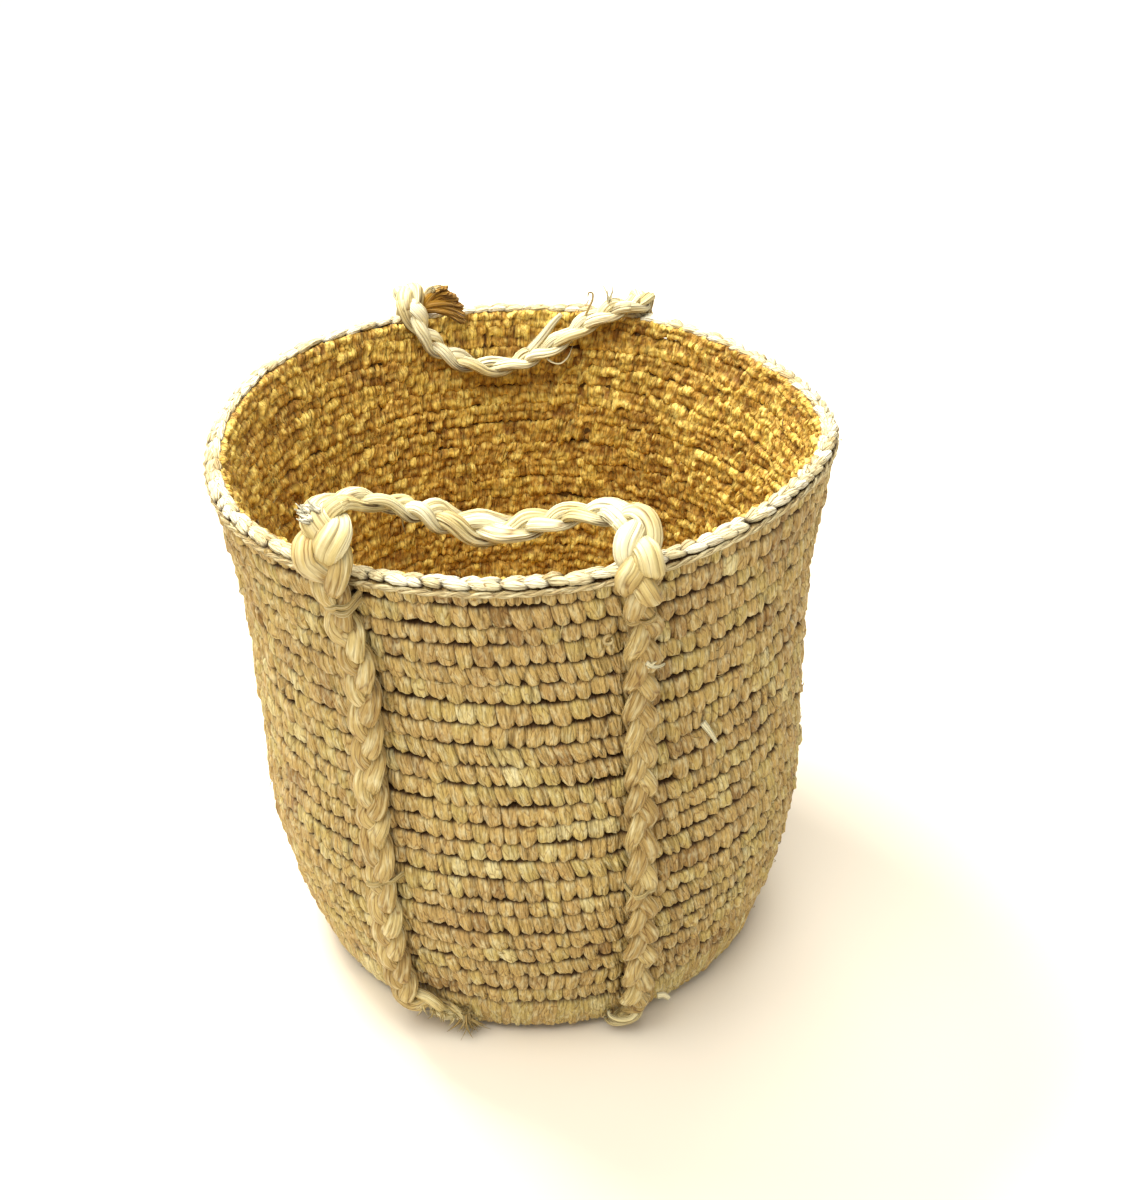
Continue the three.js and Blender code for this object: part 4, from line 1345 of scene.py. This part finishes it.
# %% Lashings
LASHING_REACH = 9.6
LASHING_FOOT = -1.5
LASHING_STEPS = 61
LASHING_SMOOTHING = 7
LASHING_TONE = 0.42
LASHING_SKEW_SPREAD = 0.35
STRIP_THICK = 0.7
STRIP_SEAT = 0.7
STRIP_SPACING = 1.35
SEEDS_APART = 10
UPPER_TURNS = {
    "front_left": {"strips": 2, "wide": 2.2, "skew": 0.8},
    "front_right": {"strips": 1, "wide": 1.7, "skew": 2.6},
    "back_left": {"strips": 2, "wide": 2.0, "skew": -0.8},
    "back_right": {"strips": 2, "wide": 2.0, "skew": 0.8},
}
LOWER_TURN = {"strips": 1, "wide": 1.8, "skew": 1.4}


def on_strap(strap, heights):
    """The strap's fields at some heights: its middle, its two directions, and its strands."""
    rows = strap[strap[:, 2] > STRAP_HEIGHTS[-1]]
    return np.stack([np.interp(heights, rows[:, 2], column) for column in rows.T], -1)


def laid_strip(strap, height, skew, wide, seed):
    """A strip over a strap: outward = depth + thickness * root of one less (place / width) squared."""
    share = np.linspace(-1, 1, LASHING_STEPS)
    rising = skew * share * np.sign(on_strap(strap, np.array([height]))[0, 3])
    row = on_strap(strap, height + rising)
    centre, across, facing = row[:, 0:3], row[:, 3:6], row[:, 6:9]
    strands = row[:, 9:].reshape(len(share), 3, 4)
    place = share * LASHING_REACH
    within = 1 - ((place[:, None] - strands[..., 0]) / strands[..., 2]) ** 2
    ovals = strands[..., 1] + strands[..., 3] * np.sqrt(np.maximum(within, 0))
    wall = LASHING_FOOT - STRAP_OUTSET
    lift = np.where(within > 0, ovals, wall).max(1)
    window = np.hanning(LASHING_SMOOTHING + 2)[1:-1]
    window = window / np.hanning(LASHING_SMOOTHING + 2).sum()
    lift = np.convolve(np.pad(lift, LASHING_SMOOTHING // 2, mode="edge"), window, "valid")
    lift = lift + STRIP_THICK * STRIP_SEAT
    line = centre + across * place[:, None] + facing * lift[:, None]
    outward = facing + across * (share**3)[:, None]
    return bundle(line, outward, wide, STRIP_THICK, seed, LASHING_TONE, strips=4, sides=20)


def add_lashing(name, strap, height, strips, wide, skew, seed):
    """Strips side by side, spaced by a little over their own width, rising to the right."""
    local = np.random.default_rng(seed)
    parts = []
    for index in range(strips):
        offset = (index - (strips - 1) / 2) * wide * STRIP_SPACING
        askew = skew + local.normal() * LASHING_SKEW_SPREAD
        parts.append(laid_strip(strap, height + offset, askew, wide, seed * SEEDS_APART + index))
    piece = build_piece(f"{name}_lashing_turns", parts, braid_raffia)
    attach(piece, "basket")
    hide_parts(f"{name}_lashing")


straps = (front_left, front_right, back_left, back_right)
for order, (strap, (name, turns)) in enumerate(zip(straps, UPPER_TURNS.items())):
    add_lashing(f"{name}_upper", strap, UPPER_LASHING_HEIGHT, **turns, seed=41 + order)
    add_lashing(f"{name}_lower", strap, LOWER_LASHING_HEIGHT, **LOWER_TURN, seed=51 + order)

# %% [markdown]
# Past its end on the wall each strap narrows, turns along the foot and frays. Its three
# strands run on as the tail. The fray is a spray of thin tapering strips that leave the
# tail at slightly different angles. At the front the left tail ends in a brush that hangs
# over the foot, and the right one in a single pale strip that hooks back up.

# %% Frays
FRAY_LOW = 0.6
FRAY_STEPS = 9
FRAY_REACHES = (0.55, 1.1)
FRAY_BEND = 0.35
FRAY_WIDTHS = (0.6, 1.3)
FRAY_TONE_SPREAD = 0.15
FACING_NUDGE = 0.01
SLIM_SIDES = 5
SLIM_TAPER = 0.85
SLIM_TAPER_POWER = 1.6
SLIM_FLATNESS = 0.35
SLIM_MAP_LENGTH = 12
SLIM_MAP_SHIFT = 0.3
SLIM_MAP_TURN = 6.28
LOOSE_SIDES = 6
LOOSE_FACING = (0.25, -0.8, 0.5)
LOOSE_SKIP = 4


def slim_strip(line, facing, wide, tone, local, sides=SLIM_SIDES, taper=SLIM_TAPER):
    """A thin tube that narrows to its tip, a third as thick as wide."""
    tangent, facing = squared(line, facing)
    side = np.cross(facing, tangent)
    turn = full_turn(sides)[None, :]
    size = wide * (1 - taper * np.linspace(0, 1, len(line)) ** SLIM_TAPER_POWER)[:, None]
    points = tube(line, side, facing, size * np.cos(turn), size * SLIM_FLATNESS * np.sin(turn))
    along = np.linspace(0, SLIM_MAP_LENGTH, len(line))[:, None]
    strip = map_places(np.append(turn[0], SLIM_MAP_TURN)[None, :] * wide, along)
    strip = strip + local.uniform(0, SLIM_MAP_SHIFT, 2)
    return grid_part(points, strip, np.clip(tone, 0, 1), 0.0, 0.0, caps=True)


def loose_strip(points, wide, tone, seed, taper=SLIM_TAPER):
    """A flat strip along a smooth line through the points, narrowing to its tip."""
    line = smooth_line(points)[0][::LOOSE_SKIP]
    facing = np.broadcast_to(np.array(LOOSE_FACING), line.shape)
    return slim_strip(line, facing, wide, tone, np.random.default_rng(seed), LOOSE_SIDES, taper)


def fray_parts(root, direction, length, count, spread, seed, tone, wide=0.9, turned=None):
    """Thin strips from one root: each leaves at its own angle, bends and narrows to a tip.

    Their flat sides are turned any way, or all one way. None of them goes under the floor."""
    local = np.random.default_rng(seed)
    direction = unit(np.asarray(direction, float))
    parts = []
    for _ in range(count):
        aim = unit(direction + spread * local.normal(size=3))
        reach = length * local.uniform(*FRAY_REACHES)
        share = np.linspace(0, 1, FRAY_STEPS)[:, None]
        bend = np.cross(aim, local.normal(size=3)) * FRAY_BEND
        line = np.asarray(root) + local.normal(size=3) * wide
        line = line + aim * reach * share + bend * reach * share**2
        line[:, 2] = np.maximum(line[:, 2], FRAY_LOW)
        facing = np.cross(aim, bend) + FACING_NUDGE if turned is None else np.asarray(turned)
        facing = np.broadcast_to(facing, line.shape)
        size = wide * local.uniform(*FRAY_WIDTHS)
        parts.append(slim_strip(line, facing, size, tone + FRAY_TONE_SPREAD * local.normal(), local))
    return parts


# %% [markdown]
# At the foot the strands of a strap are gathered and left to fray. Each tail joins the
# three narrowed strands, a short fray at their end, and what is its own: a felted brush
# at the front left, and a pale hook and a short stub at the front right. One spray for
# all four would be quicker, but those two are the ends that show.

# %% Tails of the straps
FRAY_TONE = 0.25
FRAY_SETBACK = 0.3
BRUSH_ROOT = (-31.5, -139.5, 19.5)
HOOK = [(66, -138.5, 22), (62.1, -138.4, 17.0), (56, -138, 15.2), (50.9, -138, 18.0), (49.8, -138.4, 22.5)]
STUB = [(77.5, -134, 31), (80.5, -132.6, 30.5), (82.6, -131.2, 28), (84.2, -130.2, 25.5)]
FELT_ROOTS = [(-56, -142.5, 27), (-50, -143, 24), (-44, -143.2, 22), (-38, -143, 20)]


def add_tail(strap, points, ends=(), **fray):
    """The tail's strands, a fray at their end that follows their last direction, and loose ends."""
    last = np.subtract(points[-1], points[-2])
    parts = tail_parts[f"{strap}_tail"] + list(ends)
    parts = parts + fray_parts(points[-1] - last * FRAY_SETBACK, last, tone=FRAY_TONE, **fray)
    piece = build_piece(f"{strap}_tail_end", parts, braid_raffia)
    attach(piece, "basket")
    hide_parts(f"{strap}_tail")


brush = fray_parts(
    BRUSH_ROOT, (0.05, -0.2, -1), length=12.5, count=56, spread=0.22, seed=62, tone=0.20, wide=1.0
)
brush = brush + fray_parts(
    BRUSH_ROOT, (-0.05, -0.35, 1), length=8, count=26, spread=0.30, seed=63, tone=0.30, wide=0.9
)
for order, root in enumerate(FELT_ROOTS):
    brush = brush + fray_parts(
        root, (-0.1, -0.15, -1), length=6, count=14, spread=0.30, seed=75 + order, tone=0.6, wide=0.6
    )
hook = [
    loose_strip(HOOK, wide=2.1, tone=0.75, seed=65, taper=0.6),
    loose_strip(STUB, wide=2.0, tone=1.0, seed=66, taper=0.25),
]
add_tail("front_left", FRONT_TAILS[0], brush, count=14, length=7, spread=0.42, seed=61)
add_tail("front_right", FRONT_TAILS[1], hook, count=6, length=4, spread=0.30, seed=64)
add_tail("back_left", BACK_TAILS[0], count=16, length=8, spread=0.32, seed=67)
add_tail("back_right", BACK_TAILS[1], count=16, length=8, spread=0.32, seed=70)

# %% [markdown]
# Hand-braided raffia leaves loose ends wherever a strip was joined in. The ones that show
# are set one by one: a pale tuft and a thin hanging end on the front loop, and on the
# back loop a flap darkened with painted shade and with a painted lit edge, a curled end, a
# pale strip that stands up, a drooping thread and a small wisp. Each is a flat tapering
# strip along a smooth line, and sits on the braid it grew from.

# %% Loose ends on the handles
FRONT_TUFT_ROOT = (-82.8, -153, 352.6)
HANGING_END = [(-47, -124, 342), (-46.5, -122.5, 337), (-47.5, -122, 331), (-46.5, -122.5, 325)]
FLAP_ROOT = (-73.5, 147, 332.5)
FLAP_FIRST = (1, -0.25, -0.15)
FLAP_LAST = (0.5, 0.05, 1.25)
FLAP_BEND = (0.10, -0.35, -0.14)
FLAP_BEND_SPREAD = 0.03
FLAP_BEND_POWER = 2.5
FLAP_ROOT_SPREAD = 0.6
FLAP_REACHES = (0.94, 1.05)
FLAP_LENGTH_FALL = (1.05, 0.35, 3)
FLAP_STOPS = (0, 0.35, 0.7, 1)
FLAP_TONE = (0.10, 0.16)
FLAP_PAINTED_LIT_EDGE = (0.80, 4)
FLAP_WIDTH_SPREAD = 0.2
CURLED_END = [
    (26, 146, 324), (29, 146, 331.5), (31.4, 146, 337), (31.3, 146, 341.2), (29.3, 145.7, 341.6),
    (28.5, 145.4, 339),
]
PALE_STRIP = [(-8, 140, 305), (0.7, 141, 315), (7.1, 141.5, 323.5), (12.3, 142, 329)]
DROOPING_THREAD = [(0, 137, 306), (5, 136.5, 300), (11, 137.5, 298), (16, 139, 302), (19, 141, 309)]
WISP_ROOT = (41, 148, 334)


def fan_parts(root, first, last, length, count, wide, seed):
    """Strips from one root whose directions turn evenly from first to last, palest last, as
    painted light on the flap's lit top edge.

    They overlap, and their ends hang forward, like one broad leaf that curls over."""
    local = np.random.default_rng(seed)
    parts = []
    for share in np.linspace(0, 1, count):
        aim = unit(np.asarray(first) * (1 - share) + np.asarray(last) * share)
        most, fall, power = FLAP_LENGTH_FALL
        reach = length * (most - fall * share**power) * local.uniform(*FLAP_REACHES)
        start = np.asarray(root) + local.normal(size=3) * FLAP_ROOT_SPREAD
        bend = np.array(FLAP_BEND) + FLAP_BEND_SPREAD * local.normal(size=3)
        stops = [start + aim * reach * t + bend * reach * t**FLAP_BEND_POWER for t in FLAP_STOPS]
        tone = FLAP_TONE[0] + FLAP_TONE[1] * local.random() + FLAP_PAINTED_LIT_EDGE[0] * share ** FLAP_PAINTED_LIT_EDGE[1]
        girth = wide * (1 + FLAP_WIDTH_SPREAD * local.normal())
        parts.append(loose_strip(stops, girth, tone, seed + 1, taper=0.7))
    return parts


def add_loose(name, handle, parts, finish):
    """One piece of loose ends that rides a handle."""
    piece = build_piece(name, parts, finish)
    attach(piece, handle)


front_tuft = fray_parts(
    FRONT_TUFT_ROOT, (-1, -0.35, 0.3), length=6, count=36, spread=0.24, seed=88, tone=1.0, wide=1.7,
    turned=(-0.3, -0.6, 1.0),
)
front_tuft.append(loose_strip(HANGING_END, wide=0.8, tone=0.2, seed=82))
flap = fan_parts(FLAP_ROOT, FLAP_FIRST, FLAP_LAST, length=24, count=40, wide=3.1, seed=83)
back_ends = [
    loose_strip(CURLED_END, wide=0.75, tone=0.2, seed=84, taper=0.5),
    loose_strip(PALE_STRIP, wide=3.0, tone=1.0, seed=85, taper=0.5),
    loose_strip(DROOPING_THREAD, wide=0.8, tone=0.8, seed=86),
]
back_ends = back_ends + fray_parts(
    WISP_ROOT, (0.05, 0, 1), length=11, count=9, spread=0.30, seed=87, tone=0.9, wide=0.7
)
add_loose("front_handle_loose_ends", "front_handle", front_tuft, rim_raffia)
add_loose("back_handle_brown_flap", "back_handle", flap, flap_shade_raffia)
add_loose("back_handle_loose_ends", "back_handle", back_ends, braid_raffia)

# %% [markdown]
# A few things on the wall catch the eye: a pale strand that pokes out beside the right
# strap, a pale leaf of raffia further right, and a small brown loop left of the strap where
# a strip was knotted off. Each is placed on the wall's own surface.

# %% Loose ends on the wall
KNOT_ANGLE = np.radians(-71.4)
KNOT_HEIGHT = 289
KNOT_RADIUS = 1.9
KNOT_TURNS = (0.4, 2.3 * np.pi)
KNOT_STEPS = 15
KNOT_LIFT = 1.5
KNOT_RISE = 0.2
PALE_STRAND = [(71.5, -163.5, 279.5), (74.6, -161.3, 276), (77.4, -157.5, 273.5), (80.2, -152.2, 271.5)]
PALE_SPLINTER = [(71.8, -162.8, 276.5), (74.2, -161.6, 277.5), (76.5, -160.5, 278.5)]
PALE_LEAF = [(99.6, -128, 219), (102.4, -126.4, 213.5), (104.8, -124.4, 208), (107, -121.8, 202)]


def knot_part():
    """A ring that lies on the wall: place = centre + cosine across + sine up, rising as it turns."""
    turn = np.linspace(*KNOT_TURNS, KNOT_STEPS)
    angle = KNOT_ANGLE + KNOT_RADIUS * np.cos(turn) / RIM_RADIUS
    length = length_at(KNOT_ANGLE, np.array([KNOT_HEIGHT]))[0]
    line = body_point(angle, length + KNOT_RADIUS * np.sin(turn), KNOT_LIFT + KNOT_RISE * turn)
    return loose_strip(line, wide=1.3, tone=0.0, seed=93, taper=0.3)


ends = [
    knot_part(),
    loose_strip(PALE_STRAND, wide=1.3, tone=1.0, seed=94, taper=0.5),
    loose_strip(PALE_SPLINTER, wide=1.0, tone=0.9, seed=95),
    loose_strip(PALE_LEAF, wide=1.9, tone=1.0, seed=96, taper=0.5),
]
ends_piece = build_piece("wall_loose_ends", ends, braid_raffia)
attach(ends_piece, "basket")

# %% [markdown]
# All over the wall, short fibres have worked loose and stand off a little. They are too
# many to place by hand, so a seeded generator scatters them outside, inside and along the
# rim. Each is a hair-thin tube that leaves the surface, leans over and curls back.

# %% Stray fibres
FIBRE_SEED = 91
FIBRE_COUNT = 420
FIBRE_STEPS = np.linspace(0, 1, 7)
FIBRE_SIDES = 3
FIBRE_REACHES = (4, 13)
FIBRE_HUMPS = (0.8, 3.4)
FIBRE_CURL = 1.2
HUMP_BEGIN = 0.12
HUMP_SPAN = 0.80
FIBRE_WIDTHS = (0.25, 0.6)
FIBRE_TONES = (0.2, 1)
FIBRE_FACING = (0.3, 0.2, 0.9)
FIBRE_LOW = 12
FIBRE_SEAT = 0.2
INSIDE_CHANCE = 0.35
INSIDE_OUTSET = -9.6


def stray_fibres(seed):
    """Curls on the body: along = share of length, and outward = a hump with a random height."""
    local = np.random.default_rng(seed)
    parts = []
    for _ in range(FIBRE_COUNT):
        angle = local.uniform(0, 2 * np.pi)
        place = local.uniform(FIBRE_LOW, WALL_LENGTH + 2)
        within = local.random() < INSIDE_CHANCE
        heading = local.uniform(0, 2 * np.pi)
        reach = local.uniform(*FIBRE_REACHES)
        hump = local.uniform(*FIBRE_HUMPS)
        path = heading + local.uniform(-FIBRE_CURL, FIBRE_CURL) * FIBRE_STEPS
        level = place + np.cumsum(np.cos(path)) * reach / len(FIBRE_STEPS)
        around = angle + np.cumsum(np.sin(path)) * reach / len(FIBRE_STEPS) / RIM_RADIUS
        lift = hump * np.sin(np.pi * (HUMP_BEGIN + HUMP_SPAN * FIBRE_STEPS)) + FIBRE_SEAT
        lift = INSIDE_OUTSET - lift if within else lift
        line = body_point(around, np.clip(level, FIBRE_LOW / 2, WALL_LENGTH + 4), lift)
        facing = np.broadcast_to(np.array(FIBRE_FACING), line.shape)
        wide = local.uniform(*FIBRE_WIDTHS)
        parts.append(slim_strip(line, facing, wide, local.uniform(*FIBRE_TONES), local, FIBRE_SIDES))
    return parts


fibre_piece = build_piece("stray_fibres", stray_fibres(FIBRE_SEED), stitch_raffia)
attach(fibre_piece, "basket")
